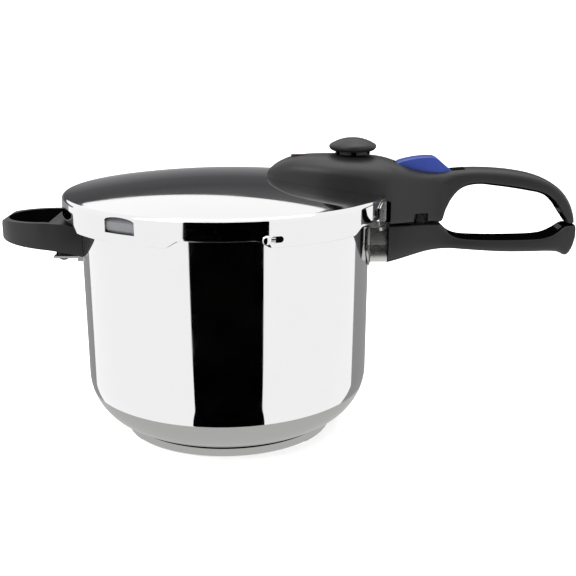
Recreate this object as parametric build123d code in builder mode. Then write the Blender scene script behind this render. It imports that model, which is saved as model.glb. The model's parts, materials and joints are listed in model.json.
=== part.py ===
from build123d import *
from math import cos, radians, sin, sqrt
import os

# Stovetop pressure cooker, 22 cm across inside, about 6 litres.
# Origin: centre of the base's underside. +Z up, +X towards the two long handles.
# All lengths are millimetres and all angles degrees.

# ---------------------------------------------------------------- driving dimensions
# Pot
POT_RIM_RADIUS = 111.5          # outside of the wall under the rim
POT_FOOT_RADIUS = 110.4         # outside of the wall where the lower corner begins
POT_WALL = 0.9
POT_CORNER = 41.0               # outer radius of the lower corner
FLOOR_Z = 6.5                   # underside of the pot's own floor
RIM_Z = 174.0                   # top of the pot's rim, where the gasket seats
RIM_FLANGE_RADIUS = 114.8
RIM_FLANGE = 1.4                # thickness of the rim's flange
LUG_RADIUS = 122.6              # pot lugs reach out to here, inside the lid's skirt
LUG_BOTTOM_Z = 170.0
POT_LUG_ARC = 29.0

# Base
CAP_RADIUS = 82.0
CAP_SHEET = 0.8
CAP_TOP_Z = 8.0

# Lid
LID_RADIUS = 124.5
LID_SHEET = 1.0
SKIRT_BOTTOM_Z = 168.0
SHOULDER_Z = 188.5
SHOULDER_RADIUS = 3.0
DOME_TOP_Z = 199.0
LID_LUG_INNER = 115.8
LID_LUG_THICK = 1.5
NOTCH_TOP_Z = 173.2
NOTCH_SLOPE = 10.5              # how far a notch's end slopes sideways
# centre angle and half width of the five notches between the lid's lugs; the one
# beside the handle is wider, so the lid goes on one way round
NOTCHES = [(-89.0, 17.1), (-20.2, 20.3), (55.0, 17.1), (127.0, 17.1), (199.0, 17.1)]
LUG_CENTRES = [-53.0 + 72.0 * k for k in range(5)]
WINDOW_ANGLE = -122.0           # gasket window in the skirt
SLOT_ANGLE = -70.6              # drain slot beside the front notch

# Valves, all on the centre line under the lid handle
VALVE_X = 98.0
SAFETY_X = 74.0
INDICATOR_X = 57.0
VALVE_SEAT_RADIUS = 9.0
SAFETY_SEAT_RADIUS = 7.5

# Handles
HANDLE_FACE_X = 125.5           # face of both long handles next to the skirt
LID_HANDLE_BOTTOM_Z = 165.5
POT_HANDLE_TOP_Z = 163.5
GRIP_HALF = 13.0
KNOB_RADIUS = 18.1
KNOB_TOP_Z = 228.3
LOCK_TRAVEL = 8.0
SCREW_RADIUS = 2.5
SCREW_HEAD_RADIUS = 4.5
CLEARANCE = 0.3                 # between pieces that move past each other

dome_rim = LID_RADIUS - SHOULDER_RADIUS
dome_rise = DOME_TOP_Z - SHOULDER_Z
dome_radius = (dome_rim**2 + dome_rise**2) / (2 * dome_rise)

os.makedirs("parts", exist_ok=True)


def save(piece, name):
    """Label a finished piece and write it as its own node."""
    piece.part.label = name
    export_step(piece.part, f"parts/{name}.step")


def dome_z(r):
    """Height of the lid's outer surface at a distance r from the axis."""
    return DOME_TOP_Z - dome_radius + sqrt(dome_radius**2 - r**2)


def radial_plane(angle):
    """Upright plane through the Z axis: local x runs outward, local y up."""
    a = radians(angle)
    return Plane(origin=(0, 0, 0), x_dir=(cos(a), sin(a), 0), z_dir=(sin(a), -cos(a), 0))


def facing_plane(angle, distance, z=0.0):
    """Plane that faces outward at an angle: local x runs round the pot, local y up."""
    a = radians(angle)
    return Plane(
        origin=(distance * cos(a), distance * sin(a), z),
        x_dir=(-sin(a), cos(a), 0),
        z_dir=(cos(a), sin(a), 0),
    )


def coil(radius, wire, start, length, turns, direction=(0, 0, 1)):
    """Helical compression spring that runs from start along direction."""
    pitch = (length - 2 * wire) / turns
    first = Vector(start) + Vector(direction) * wire
    with BuildPart() as spring:
        with BuildLine() as centre_line:
            Helix(pitch, pitch * turns, radius, center=first, direction=direction)
        with BuildSketch(Plane(origin=centre_line.line @ 0, z_dir=centre_line.line % 0)):
            Circle(wire)
        sweep(is_frenet=True)
    return spring


# ---------------------------------------------------------------- pot
def pot_section(outer_shift=0.0):
    """Outline of the pot's wall as seen on Plane.XZ, moved outward by outer_shift."""
    centre_r = POT_FOOT_RADIUS - POT_CORNER
    centre_z = FLOOR_Z + POT_CORNER
    bend = POT_CORNER + outer_shift
    half = bend * sin(radians(45))
    with BuildLine() as outline:
        floor = Line((0, FLOOR_Z - outer_shift), (centre_r, FLOOR_Z - outer_shift))
        corner = ThreePointArc(
            floor @ 1,
            (centre_r + half, centre_z - half),
            (centre_r + bend, centre_z),
        )
        Line(corner @ 1, (POT_RIM_RADIUS + outer_shift, RIM_Z))
    return outline.line


outer_wall = pot_section()
inner_wall = pot_section(-POT_WALL)
rim_inner = POT_RIM_RADIUS - POT_WALL

with BuildPart() as pot_body:
    with BuildSketch(Plane.XZ):
        with BuildLine():
            add(outer_wall)
            add(inner_wall)
            Line(outer_wall @ 0, inner_wall @ 0)
            Line(outer_wall @ 1, inner_wall @ 1)
        make_face()
    revolve(axis=Axis.Z)
    with BuildSketch(Plane.XZ):
        with Locations((rim_inner, RIM_Z)):
            Rectangle(RIM_FLANGE_RADIUS - rim_inner, RIM_FLANGE, align=(Align.MIN, Align.MAX))
    revolve(axis=Axis.Z)
    for centre in LUG_CENTRES:
        with BuildSketch(radial_plane(centre - POT_LUG_ARC / 2)):
            with Locations((rim_inner + 0.5, RIM_Z)):
                Rectangle(
                    LUG_RADIUS - rim_inner - 0.5, RIM_Z - LUG_BOTTOM_Z, align=(Align.MIN, Align.MAX)
                )
        revolve(axis=Axis.Z, revolution_arc=POT_LUG_ARC)
    # the flat middle of the floor is a piece of its own
    with Locations((0, 0, FLOOR_Z)):
        Cylinder(
            POT_FOOT_RADIUS - POT_CORNER,
            POT_WALL,
            align=(Align.CENTER, Align.CENTER, Align.MIN),
            mode=Mode.SUBTRACT,
        )
save(pot_body, "pot_body")

with BuildPart() as pot_floor:
    with BuildSketch(Plane.XY.offset(FLOOR_Z)):
        Circle(POT_FOOT_RADIUS - POT_CORNER)
    extrude(amount=POT_WALL)
save(pot_floor, "pot_floor")

# Solid outline of the pot with a hair of room round it, to shape what is fixed to its wall
with BuildPart() as pot_envelope:
    with BuildSketch(Plane.XZ):
        envelope_wall = pot_section(0.1)
        with BuildLine():
            add(envelope_wall)
            Line(envelope_wall @ 1, (0, RIM_Z))
            Line((0, RIM_Z), envelope_wall @ 0)
        make_face()
    revolve(axis=Axis.Z)

with BuildPart() as heat_spreader:
    with BuildSketch(Plane.XY.offset(CAP_SHEET)):
        Circle(CAP_RADIUS - CAP_SHEET - 0.1)
    extrude(amount=FLOOR_Z - CAP_SHEET)
save(heat_spreader, "heat_spreader")

with BuildPart() as base_cap:
    with BuildSketch(Plane.XZ):
        Rectangle(CAP_RADIUS, CAP_TOP_Z, align=(Align.MIN, Align.MIN))
        with Locations((0, CAP_SHEET)):
            Rectangle(
                CAP_RADIUS - CAP_SHEET, CAP_TOP_Z, align=(Align.MIN, Align.MIN), mode=Mode.SUBTRACT
            )
    revolve(axis=Axis.Z)
    fillet(base_cap.edges().filter_by(GeomType.CIRCLE).group_by(Axis.Z)[0], radius=0.7)
save(base_cap, "base_cap")


# ---------------------------------------------------------------- pot handle and its bracket
GUARD_LOW_Z = 133.5
GUARD_HIGH_Z = 160.5
GUARD_HALF = 14.0
GUARD_SHEET = 0.8
TONGUE_Z = 147.0                # middle of the bracket's tongue inside the handle
TONGUE_THICK = 3.0
TONGUE_HALF = 7.0
TONGUE_END_X = 150.0
POT_SCREW_X = 139.0

with BuildPart() as flame_guard:
    with BuildSketch(Plane.YZ.offset(105.0)):
        with Locations((0, (GUARD_LOW_Z + GUARD_HIGH_Z) / 2)):
            RectangleRounded(2 * GUARD_HALF, GUARD_HIGH_Z - GUARD_LOW_Z, 3.0)
            RectangleRounded(
                2 * (GUARD_HALF - GUARD_SHEET),
                GUARD_HIGH_Z - GUARD_LOW_Z - 2 * GUARD_SHEET,
                2.2,
                mode=Mode.SUBTRACT,
            )
    extrude(amount=HANDLE_FACE_X - 0.4 - 105.0)
    with BuildSketch(Plane.YZ.offset(105.0)):
        with Locations((0, (GUARD_LOW_Z + GUARD_HIGH_Z) / 2)):
            RectangleRounded(2 * GUARD_HALF + 8, GUARD_HIGH_Z - GUARD_LOW_Z + 3, 5.0)
            RectangleRounded(
                2 * (GUARD_HALF - GUARD_SHEET),
                GUARD_HIGH_Z - GUARD_LOW_Z - 2 * GUARD_SHEET,
                2.2,
                mode=Mode.SUBTRACT,
            )
    extrude(amount=7.6)
    add(pot_envelope.part, mode=Mode.SUBTRACT)
save(flame_guard, "flame_guard")

with BuildPart() as pot_handle_bracket:
    with BuildSketch(Plane.YZ.offset(106.0)):
        with Locations((0, TONGUE_Z)):
            RectangleRounded(22, 20, 3.0)
    extrude(amount=8.0)
    with BuildSketch(Plane.XY.offset(TONGUE_Z - TONGUE_THICK / 2)):
        with Locations((106.0, 0)):
            Rectangle(TONGUE_END_X - 106.0, 2 * TONGUE_HALF, align=(Align.MIN, Align.CENTER))
    extrude(amount=TONGUE_THICK)
    with Locations((POT_SCREW_X, 0, TONGUE_Z)):
        Hole(SCREW_RADIUS + 0.1)
    add(pot_envelope.part, mode=Mode.SUBTRACT)
save(pot_handle_bracket, "pot_handle_bracket")

POT_HANDLE_END_X = 271.5
JOINT_END_X = 165.4             # where the two handles part into separate grips
STUB_X = 150.5                  # middle of the locating stub on the pot handle
STUB_HALF = 3.2
STUB_TOP_Z = 170.4
STUB_SLOT_HALF = 5.6
STUB_SLOT_TOP_Z = 172.6

with BuildPart() as pot_handle:
    with BuildSketch(Plane.XZ.offset(-GRIP_HALF - 2)):
        with BuildLine():
            top = Line((HANDLE_FACE_X, POT_HANDLE_TOP_Z), (JOINT_END_X, POT_HANDLE_TOP_Z))
            grip_top = Spline(
                top @ 1,
                (172.3, 156.8),
                (182.6, 151.9),
                (204.0, 150.9),
                (236.0, 151.4),
                (252.0, 153.8),
                (262.5, 162.0),
            )
            end_top = Line(grip_top @ 1, (270.0, 162.0))
            tail = Spline(
                end_top @ 1,
                (POT_HANDLE_END_X, 153.0),
                (270.2, 144.5),
                (265.6, 136.4),
            )
            grip_bottom = Spline(
                tail @ 1,
                (252.0, 140.2),
                (228.0, 139.9),
                (200.0, 140.8),
                (173.9, 142.6),
                (152.0, 139.6),
                (134.5, 134.4),
                (HANDLE_FACE_X, 131.8),
            )
            Line(grip_bottom @ 1, top @ 0)
        make_face()
    extrude(amount=2 * GRIP_HALF + 4)
    with BuildSketch(Plane.XY.offset(120)):
        with BuildLine():
            side = Spline(
                (HANDLE_FACE_X, 14.8),
                (148.0, 14.0),
                (172.0, 12.4),
                (200.0, GRIP_HALF),
                (240.0, GRIP_HALF),
                (262.0, 11.4),
                (POT_HANDLE_END_X, 8.0),
            )
            Line(side @ 1, (POT_HANDLE_END_X, 0))
            Line((HANDLE_FACE_X, 0), side @ 0)
            mirror(about=Plane.XZ)
        make_face()
    extrude(amount=60, mode=Mode.INTERSECT)
    with BuildSketch(Plane.XY.offset(POT_HANDLE_TOP_Z - 1)):
        with Locations((STUB_X, 0)):
            Rectangle(2 * STUB_HALF, 22)
    extrude(amount=STUB_TOP_Z - POT_HANDLE_TOP_Z + 1)
    with BuildSketch(Plane.XY.offset(TONGUE_Z - TONGUE_THICK / 2)):
        with Locations((HANDLE_FACE_X, 0)):
            Rectangle(
                TONGUE_END_X - HANDLE_FACE_X + 0.2, 2 * TONGUE_HALF + 0.4, align=(Align.MIN, Align.CENTER)
            )
    extrude(amount=TONGUE_THICK, mode=Mode.SUBTRACT)
    with BuildSketch(Plane.XY.offset(120)):
        with Locations((POT_SCREW_X, 0)):
            Circle(SCREW_RADIUS + 0.1)
    extrude(amount=TONGUE_Z + 8 - 120, mode=Mode.SUBTRACT)
    with BuildSketch(Plane.XY.offset(120)):
        with Locations((POT_SCREW_X, 0)):
            Circle(SCREW_HEAD_RADIUS + 0.3)
    extrude(amount=140 - 120, mode=Mode.SUBTRACT)
save(pot_handle, "pot_handle")


def upright_screw(x, head_z, tip_z, head_height=2.6):
    """Pan-head screw driven upward, with a cross recess in its head."""
    with BuildPart() as screw:
        with BuildSketch(Plane.XY.offset(head_z)):
            with Locations((x, 0)):
                Circle(SCREW_HEAD_RADIUS)
        extrude(amount=head_height)
        fillet(screw.edges().group_by(Axis.Z)[0], radius=1.0)
        with BuildSketch(Plane.XY.offset(head_z + head_height)):
            with Locations((x, 0)):
                Circle(SCREW_RADIUS)
        extrude(amount=tip_z - head_z - head_height)
        chamfer(screw.edges().group_by(Axis.Z)[-1], length=0.8)
        with BuildSketch(Plane.XY.offset(head_z)):
            with Locations((x, 0)):
                Rectangle(5.0, 1.2)
                Rectangle(1.2, 5.0)
        extrude(amount=1.6, mode=Mode.SUBTRACT)
    return screw


pot_handle_screw = upright_screw(POT_SCREW_X, 137.4, TONGUE_Z + 7.5)
save(pot_handle_screw, "pot_handle_screw")

# ---------------------------------------------------------------- side handle and its bracket
SIDE_TOP_Z = 167.8
SIDE_END_X = -174.0
SIDE_HALF = 33.5
SIDE_SCREW_X = -128.5
SIDE_TAB_Z = 136.0              # underside of the bracket's tab, below the handle
SIDE_TAB_THICK = 1.6
SIDE_PLATE_TOP_Z = 160.0

with BuildPart() as side_handle_bracket:
    with BuildSketch(Plane.YZ.offset(-113.0)):
        with Locations((0, SIDE_TAB_Z)):
            Rectangle(44.0, SIDE_PLATE_TOP_Z - SIDE_TAB_Z, align=(Align.CENTER, Align.MIN))
    extrude(amount=20.0)
    with BuildSketch(Plane.XY.offset(SIDE_TAB_Z)):
        with Locations((-100.0, 0)):
            Rectangle(34.0, 24.0, align=(Align.MAX, Align.CENTER))
    extrude(amount=SIDE_TAB_THICK)
    with Locations((SIDE_SCREW_X, 0, SIDE_TAB_Z)):
        Hole(SCREW_RADIUS + 0.1)
    add(pot_envelope.part, mode=Mode.SUBTRACT)
save(side_handle_bracket, "side_handle_bracket")

with BuildPart() as side_handle:
    with BuildSketch(Plane.XZ.offset(-SIDE_HALF - 2)):
        with BuildLine():
            side_top = Polyline(
                (-90.0, 161.0),
                (-105.5, 161.5),
                (-107.5, 163.6),
                (-119.0, 166.9),
                (-127.0, 167.2),
                (-133.0, SIDE_TOP_Z),
                (-160.0, SIDE_TOP_Z),
            )
            side_end = Spline(
                side_top @ 1,
                (-170.0, 165.8),
                (SIDE_END_X, 158.6),
                (-171.6, 151.8),
            )
            side_bottom = Spline(
                side_end @ 1,
                (-158.0, 151.0),
                (-144.0, 150.2),
                (-126.0, 146.6),
                (-106.0, 142.8),
            )
            Line(side_bottom @ 1, (-90.0, 142.8))
            Line((-90.0, 142.8), side_top @ 0)
        make_face()
    extrude(amount=2 * SIDE_HALF + 4)
    with BuildSketch(Plane.XY.offset(130)):
        with Locations((-132.0, 0)):
            RectangleRounded(2 * (-132.0 - SIDE_END_X), 2 * SIDE_HALF, 24.0)
        with Locations((-104.0, 0)):
            Rectangle(40, 2 * SIDE_HALF)
        with Locations((-150.5, 0)):
            RectangleRounded(31.0, 50.0, 14.0, mode=Mode.SUBTRACT)
    extrude(amount=50, mode=Mode.INTERSECT)
    with BuildSketch(Plane.XY.offset(SIDE_TAB_Z + SIDE_TAB_THICK)):
        with Locations((-100.0, 0)):
            RectangleRounded(34.5, 30.0, 4.0, align=(Align.MAX, Align.CENTER))
    extrude(amount=12.0)
    with BuildSketch(Plane.YZ.offset(-113.2)):
        with Locations((0, SIDE_TAB_Z)):
            Rectangle(44.4, SIDE_PLATE_TOP_Z + 0.2 - SIDE_TAB_Z, align=(Align.CENTER, Align.MIN))
    extrude(amount=30.0, mode=Mode.SUBTRACT)
    add(pot_envelope.part, mode=Mode.SUBTRACT)
    with BuildSketch(Plane.XY.offset(SIDE_TAB_Z)):
        with Locations((SIDE_SCREW_X, 0)):
            Circle(SCREW_RADIUS + 0.1)
    extrude(amount=22.0, mode=Mode.SUBTRACT)
save(side_handle, "side_handle")

side_handle_screw = upright_screw(SIDE_SCREW_X, SIDE_TAB_Z - 3.4, SIDE_TAB_Z + 21.0, head_height=3.4)
save(side_handle_screw, "side_handle_screw")


# ---------------------------------------------------------------- lid
def lid_section(inset):
    """Outline of the lid from its centre to the skirt's lower edge, moved inward by inset."""
    shoulder_r = LID_RADIUS - SHOULDER_RADIUS
    shoulder_z = SHOULDER_Z - SHOULDER_RADIUS
    bend = SHOULDER_RADIUS - inset
    half = bend * sin(radians(45))
    with BuildLine() as outline:
        dome = ThreePointArc(
            (0, DOME_TOP_Z - inset),
            (shoulder_r / 2, dome_z(shoulder_r / 2) - inset),
            (shoulder_r, SHOULDER_Z - inset),
        )
        shoulder = ThreePointArc(
            dome @ 1,
            (shoulder_r + half, shoulder_z + half),
            (shoulder_r + bend, shoulder_z),
        )
        Line(shoulder @ 1, (LID_RADIUS - inset, SKIRT_BOTTOM_Z))
    return outline.line


def lid_solid(inset, bottom_z):
    """Solid whose outside is the lid's surface moved inward by inset."""
    section = lid_section(inset)
    with BuildPart() as solid:
        with BuildSketch(Plane.XZ):
            with BuildLine():
                add(section)
                Line(section @ 1, (LID_RADIUS - inset, bottom_z))
                Line((LID_RADIUS - inset, bottom_z), (0, bottom_z))
                Line((0, bottom_z), section @ 0)
            make_face()
        revolve(axis=Axis.Z)
    return solid


lid_envelope = lid_solid(-0.1, 160.0)
lid_outside = lid_section(0.0)
lid_inside = lid_section(LID_SHEET)
WINDOW_WIDTH = 26.0
WINDOW_LOW_Z = 174.8
WINDOW_HIGH_Z = 186.2
VALVE_SEAT_LOW_Z = 189.4
VALVE_SEAT_HIGH_Z = 193.2
SAFETY_SEAT_LOW_Z = 192.9
SAFETY_SEAT_HIGH_Z = 195.9
VALVE_STEM = 5.0
SAFETY_STEM = 4.5
GROMMET_STEM = 3.9
LOCK_BAR_Y = 5.5
LOCK_BAR_HALF = 2.0
LOCK_BAR_LOW_Z = 174.6
LOCK_BAR_HIGH_Z = 176.6

with BuildPart() as lid_shell:
    with BuildSketch(Plane.XZ):
        with BuildLine():
            add(lid_outside)
            add(lid_inside)
            Line(lid_outside @ 0, lid_inside @ 0)
            Line(lid_outside @ 1, lid_inside @ 1)
        make_face()
        with Locations((LID_LUG_INNER, SKIRT_BOTTOM_Z)):
            Rectangle(LID_RADIUS - LID_LUG_INNER, LID_LUG_THICK, align=(Align.MIN, Align.MIN))
    revolve(axis=Axis.Z)
    with BuildSketch(Plane.XY.offset(VALVE_SEAT_LOW_Z)):
        with Locations((VALVE_X, 0)):
            Circle(VALVE_SEAT_RADIUS)
    extrude(amount=VALVE_SEAT_HIGH_Z - VALVE_SEAT_LOW_Z)
    with BuildSketch(Plane.XY.offset(SAFETY_SEAT_LOW_Z)):
        with Locations((SAFETY_X, 0)):
            Circle(SAFETY_SEAT_RADIUS)
    extrude(amount=SAFETY_SEAT_HIGH_Z - SAFETY_SEAT_LOW_Z)
    for x, stem in [(VALVE_X, VALVE_STEM), (SAFETY_X, SAFETY_STEM), (INDICATOR_X, GROMMET_STEM)]:
        with Locations((x, 0, DOME_TOP_Z)):
            Hole(stem + 0.1, depth=DOME_TOP_Z - 185.0)
    for centre, half_width in NOTCHES:
        low_half = LID_RADIUS * sin(radians(half_width))
        with BuildSketch(facing_plane(centre, 100.0)):
            with BuildLine():
                Polyline(
                    (-low_half, SKIRT_BOTTOM_Z - 1),
                    (-low_half, SKIRT_BOTTOM_Z + LID_LUG_THICK + 0.1),
                    (-low_half + NOTCH_SLOPE, NOTCH_TOP_Z),
                    (low_half - NOTCH_SLOPE, NOTCH_TOP_Z),
                    (low_half, SKIRT_BOTTOM_Z + LID_LUG_THICK + 0.1),
                    (low_half, SKIRT_BOTTOM_Z - 1),
                    close=True,
                )
            notch = make_face()
            fillet(notch.vertices().group_by(Axis.Y)[-1], radius=5.0)
        extrude(amount=30, mode=Mode.SUBTRACT)
    with BuildSketch(facing_plane(WINDOW_ANGLE, 115.0)):
        with BuildLine():
            sill = Line((-WINDOW_WIDTH / 2, WINDOW_LOW_Z), (WINDOW_WIDTH / 2, WINDOW_LOW_Z))
            right = Line(sill @ 1, (WINDOW_WIDTH / 2, WINDOW_HIGH_Z - 3))
            arch = ThreePointArc(right @ 1, (0, WINDOW_HIGH_Z), (-WINDOW_WIDTH / 2, WINDOW_HIGH_Z - 3))
            Line(arch @ 1, sill @ 0)
        make_face()
    extrude(amount=15, mode=Mode.SUBTRACT)
    with BuildSketch(facing_plane(SLOT_ANGLE, 122.0, 173.6)):
        SlotOverall(9.0, 4.4)
    extrude(amount=6, mode=Mode.SUBTRACT)
    with BuildSketch(Plane.YZ.offset(115.0)):
        with Locations((LOCK_BAR_Y, (LOCK_BAR_LOW_Z + LOCK_BAR_HIGH_Z) / 2)):
            Rectangle(2 * LOCK_BAR_HALF + 1, LOCK_BAR_HIGH_Z - LOCK_BAR_LOW_Z + 1)
    extrude(amount=12, mode=Mode.SUBTRACT)
save(lid_shell, "lid_shell")

GASKET_LOW_Z = RIM_Z + CLEARANCE
with BuildPart() as gasket:
    with BuildSketch(Plane.XZ):
        with BuildLine():
            Polyline(
                (108.2, GASKET_LOW_Z),
                (120.5, GASKET_LOW_Z),
                (122.6, GASKET_LOW_Z + 2.0),
                (123.0, GASKET_LOW_Z + 5.0),
                (122.6, 182.0),
                (119.6, 185.6),
                (111.0, 186.8),
                (109.6, 185.4),
                (117.6, 183.6),
                (119.6, 181.0),
                (119.6, 178.6),
                (117.6, 176.8),
                (108.2, 175.8),
                close=True,
            )
        make_face()
    revolve(axis=Axis.Z)
save(gasket, "gasket")


# ---------------------------------------------------------------- lid handle and its bracket
HANDLE_TIP_X = 270.5
NOSE_BOTTOM_Z = 184.6           # lowest edge of the nose, over the lid's shoulder
BRACKET_SHEET = 1.4
BRACKET_BACK_X = 125.3
BRACKET_HALF = 29.5
BRACKET_TOP_Z = 187.0
BRACKET_LEG_HALF = 17.0
LID_TONGUE_LOW_Z = 178.6
LID_TONGUE_HIGH_Z = 181.0
LID_SCREW_X = 135.0
LOCK_POCKET_X = 129.5
LOCK_POCKET_END_X = 184.0
LOCK_POCKET_HALF = 8.4
LOCK_FLOOR_Z = 195.6
LOCK_POST_X = 147.5
LOCK_POST_HALF = 2.0
LOCK_SPRING_Z = 187.0
LOCK_SPRING_RADIUS = 1.6
LOCK_SPRING_WIRE = 0.25
LOCK_SPRING_END_X = 171.5

with BuildPart() as lid_handle_bracket:
    # top leg on the lid, back plate behind the skirt and a cheek down each side
    with BuildSketch(Plane.XY.offset(LID_HANDLE_BOTTOM_Z + 2.8)):
        with Locations((BRACKET_BACK_X, 0)):
            Rectangle(BRACKET_SHEET, 2 * BRACKET_HALF, align=(Align.MAX, Align.CENTER))
        for side in (-1, 1):
            with Locations((BRACKET_BACK_X, side * (BRACKET_HALF - BRACKET_SHEET / 2))):
                Rectangle(13.4, BRACKET_SHEET, align=(Align.MAX, Align.CENTER))
    extrude(amount=BRACKET_TOP_Z - LID_HANDLE_BOTTOM_Z - 2.8)
    with BuildSketch(Plane.XZ.offset(-BRACKET_LEG_HALF)):
        with BuildLine():
            Polyline(
                (108.5, 188.0),
                (108.5, 192.4),
                (118.0, 190.8),
                (BRACKET_BACK_X, 187.6),
                (BRACKET_BACK_X, 180.0),
                (118.0, 180.0),
                close=True,
            )
        make_face()
    extrude(amount=2 * BRACKET_LEG_HALF)
    with BuildSketch(Plane.XY.offset(LID_TONGUE_LOW_Z)):
        with Locations((BRACKET_BACK_X - BRACKET_SHEET, 0)):
            Rectangle(18.5, 20.0, align=(Align.MIN, Align.CENTER))
    extrude(amount=LID_TONGUE_HIGH_Z - LID_TONGUE_LOW_Z)
    with Locations((LID_SCREW_X, 0, LID_TONGUE_HIGH_Z)):
        Hole(SCREW_RADIUS + 0.1)
    with BuildSketch(Plane.YZ.offset(120.0)):
        with Locations((LOCK_BAR_Y, (LOCK_BAR_LOW_Z + LOCK_BAR_HIGH_Z) / 2)):
            Rectangle(2 * LOCK_BAR_HALF + 1, LOCK_BAR_HIGH_Z - LOCK_BAR_LOW_Z + 1)
    extrude(amount=12, mode=Mode.SUBTRACT)
    add(lid_envelope.part, mode=Mode.SUBTRACT)
save(lid_handle_bracket, "lid_handle_bracket")

# Hollow under the handle's broad nose, open towards the lid
with BuildPart() as nose_hollow:
    with BuildSketch(Plane.XZ.offset(-40)):
        with BuildLine():
            roof = Spline(
                (37.0, 195.0),
                (42.0, 205.0),
                (52.0, 210.6),
                (67.0, 212.2),
                (98.0, 211.8),
                (118.0, 209.8),
                (124.5, 206.0),
            )
            Polyline(roof @ 1, (124.5, 180.0), (37.0, 180.0), roof @ 0)
        make_face()
    extrude(amount=80)
    with BuildSketch(Plane.XY.offset(170)):
        with BuildLine():
            nose_side = Spline(
                (37.0, 0),
                (44.0, 9.0),
                (56.0, 18.0),
                (72.0, 25.5),
                (88.0, 28.8),
                (106.0, 29.8),
                (124.5, 28.0),
            )
            Line(nose_side @ 1, (124.5, 0))
            mirror(about=Plane.XZ)
        make_face()
    extrude(amount=50, mode=Mode.INTERSECT)

# Room for the lid bracket's plates inside the handle, a little larger than the bracket itself
with BuildPart() as lid_bracket_room:
    with BuildSketch(Plane.XY.offset(180.0)):
        with Locations((HANDLE_FACE_X, 0)):
            Rectangle(14.0, 2 * BRACKET_HALF + 0.4, align=(Align.MAX, Align.CENTER))
        with Locations((HANDLE_FACE_X - BRACKET_SHEET - 0.4, 0)):
            Rectangle(
                20.0, 2 * (BRACKET_HALF - BRACKET_SHEET - 0.2), align=(Align.MAX, Align.CENTER),
                mode=Mode.SUBTRACT,
            )
    extrude(amount=BRACKET_TOP_Z + 0.2 - 180.0)
    with BuildSketch(Plane.XZ.offset(-BRACKET_LEG_HALF - 0.2)):
        with BuildLine():
            Polyline(
                (108.2, 180.0),
                (108.2, 193.0),
                (118.2, 191.2),
                (HANDLE_FACE_X, 188.0),
                (HANDLE_FACE_X, 180.0),
                close=True,
            )
        make_face()
    extrude(amount=2 * BRACKET_LEG_HALF + 0.4)
    with BuildSketch(Plane.XY.offset(LID_TONGUE_LOW_Z)):
        with Locations((HANDLE_FACE_X - 1, 0)):
            Rectangle(18.9, 20.4, align=(Align.MIN, Align.CENTER))
    extrude(amount=LID_TONGUE_HIGH_Z - LID_TONGUE_LOW_Z)

# Room for the sliding lock: its bar, its post and the button's pocket
with BuildPart() as lock_room:
    with BuildSketch(Plane.XY.offset(LOCK_BAR_LOW_Z - 0.5)):
        with Locations((120.0, LOCK_BAR_Y)):
            Rectangle(40.0, 2 * LOCK_BAR_HALF + 0.8, align=(Align.MIN, Align.CENTER))
    extrude(amount=LOCK_BAR_HIGH_Z - LOCK_BAR_LOW_Z + 1.0)
    with BuildSketch(Plane.XY.offset(LOCK_BAR_LOW_Z)):
        with Locations((LOCK_POST_X - LOCK_POST_HALF - 0.5, LOCK_BAR_Y)):
            Rectangle(
                2 * LOCK_POST_HALF + LOCK_TRAVEL + 1.0,
                2 * LOCK_BAR_HALF + 0.8,
                align=(Align.MIN, Align.CENTER),
            )
    extrude(amount=LOCK_FLOOR_Z - LOCK_BAR_LOW_Z + 1)
    with BuildSketch(Plane.YZ.offset(LOCK_POST_X)):
        with Locations((LOCK_BAR_Y, LOCK_SPRING_Z)):
            Circle(LOCK_SPRING_RADIUS + 0.6)
    extrude(amount=LOCK_SPRING_END_X - LOCK_POST_X)
    with BuildSketch(Plane.XY.offset(LOCK_FLOOR_Z)):
        with Locations((LOCK_POCKET_X, 0)):
            Rectangle(
                LOCK_POCKET_END_X - LOCK_POCKET_X, 2 * LOCK_POCKET_HALF, align=(Align.MIN, Align.CENTER)
            )
    extrude(amount=30)

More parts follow.
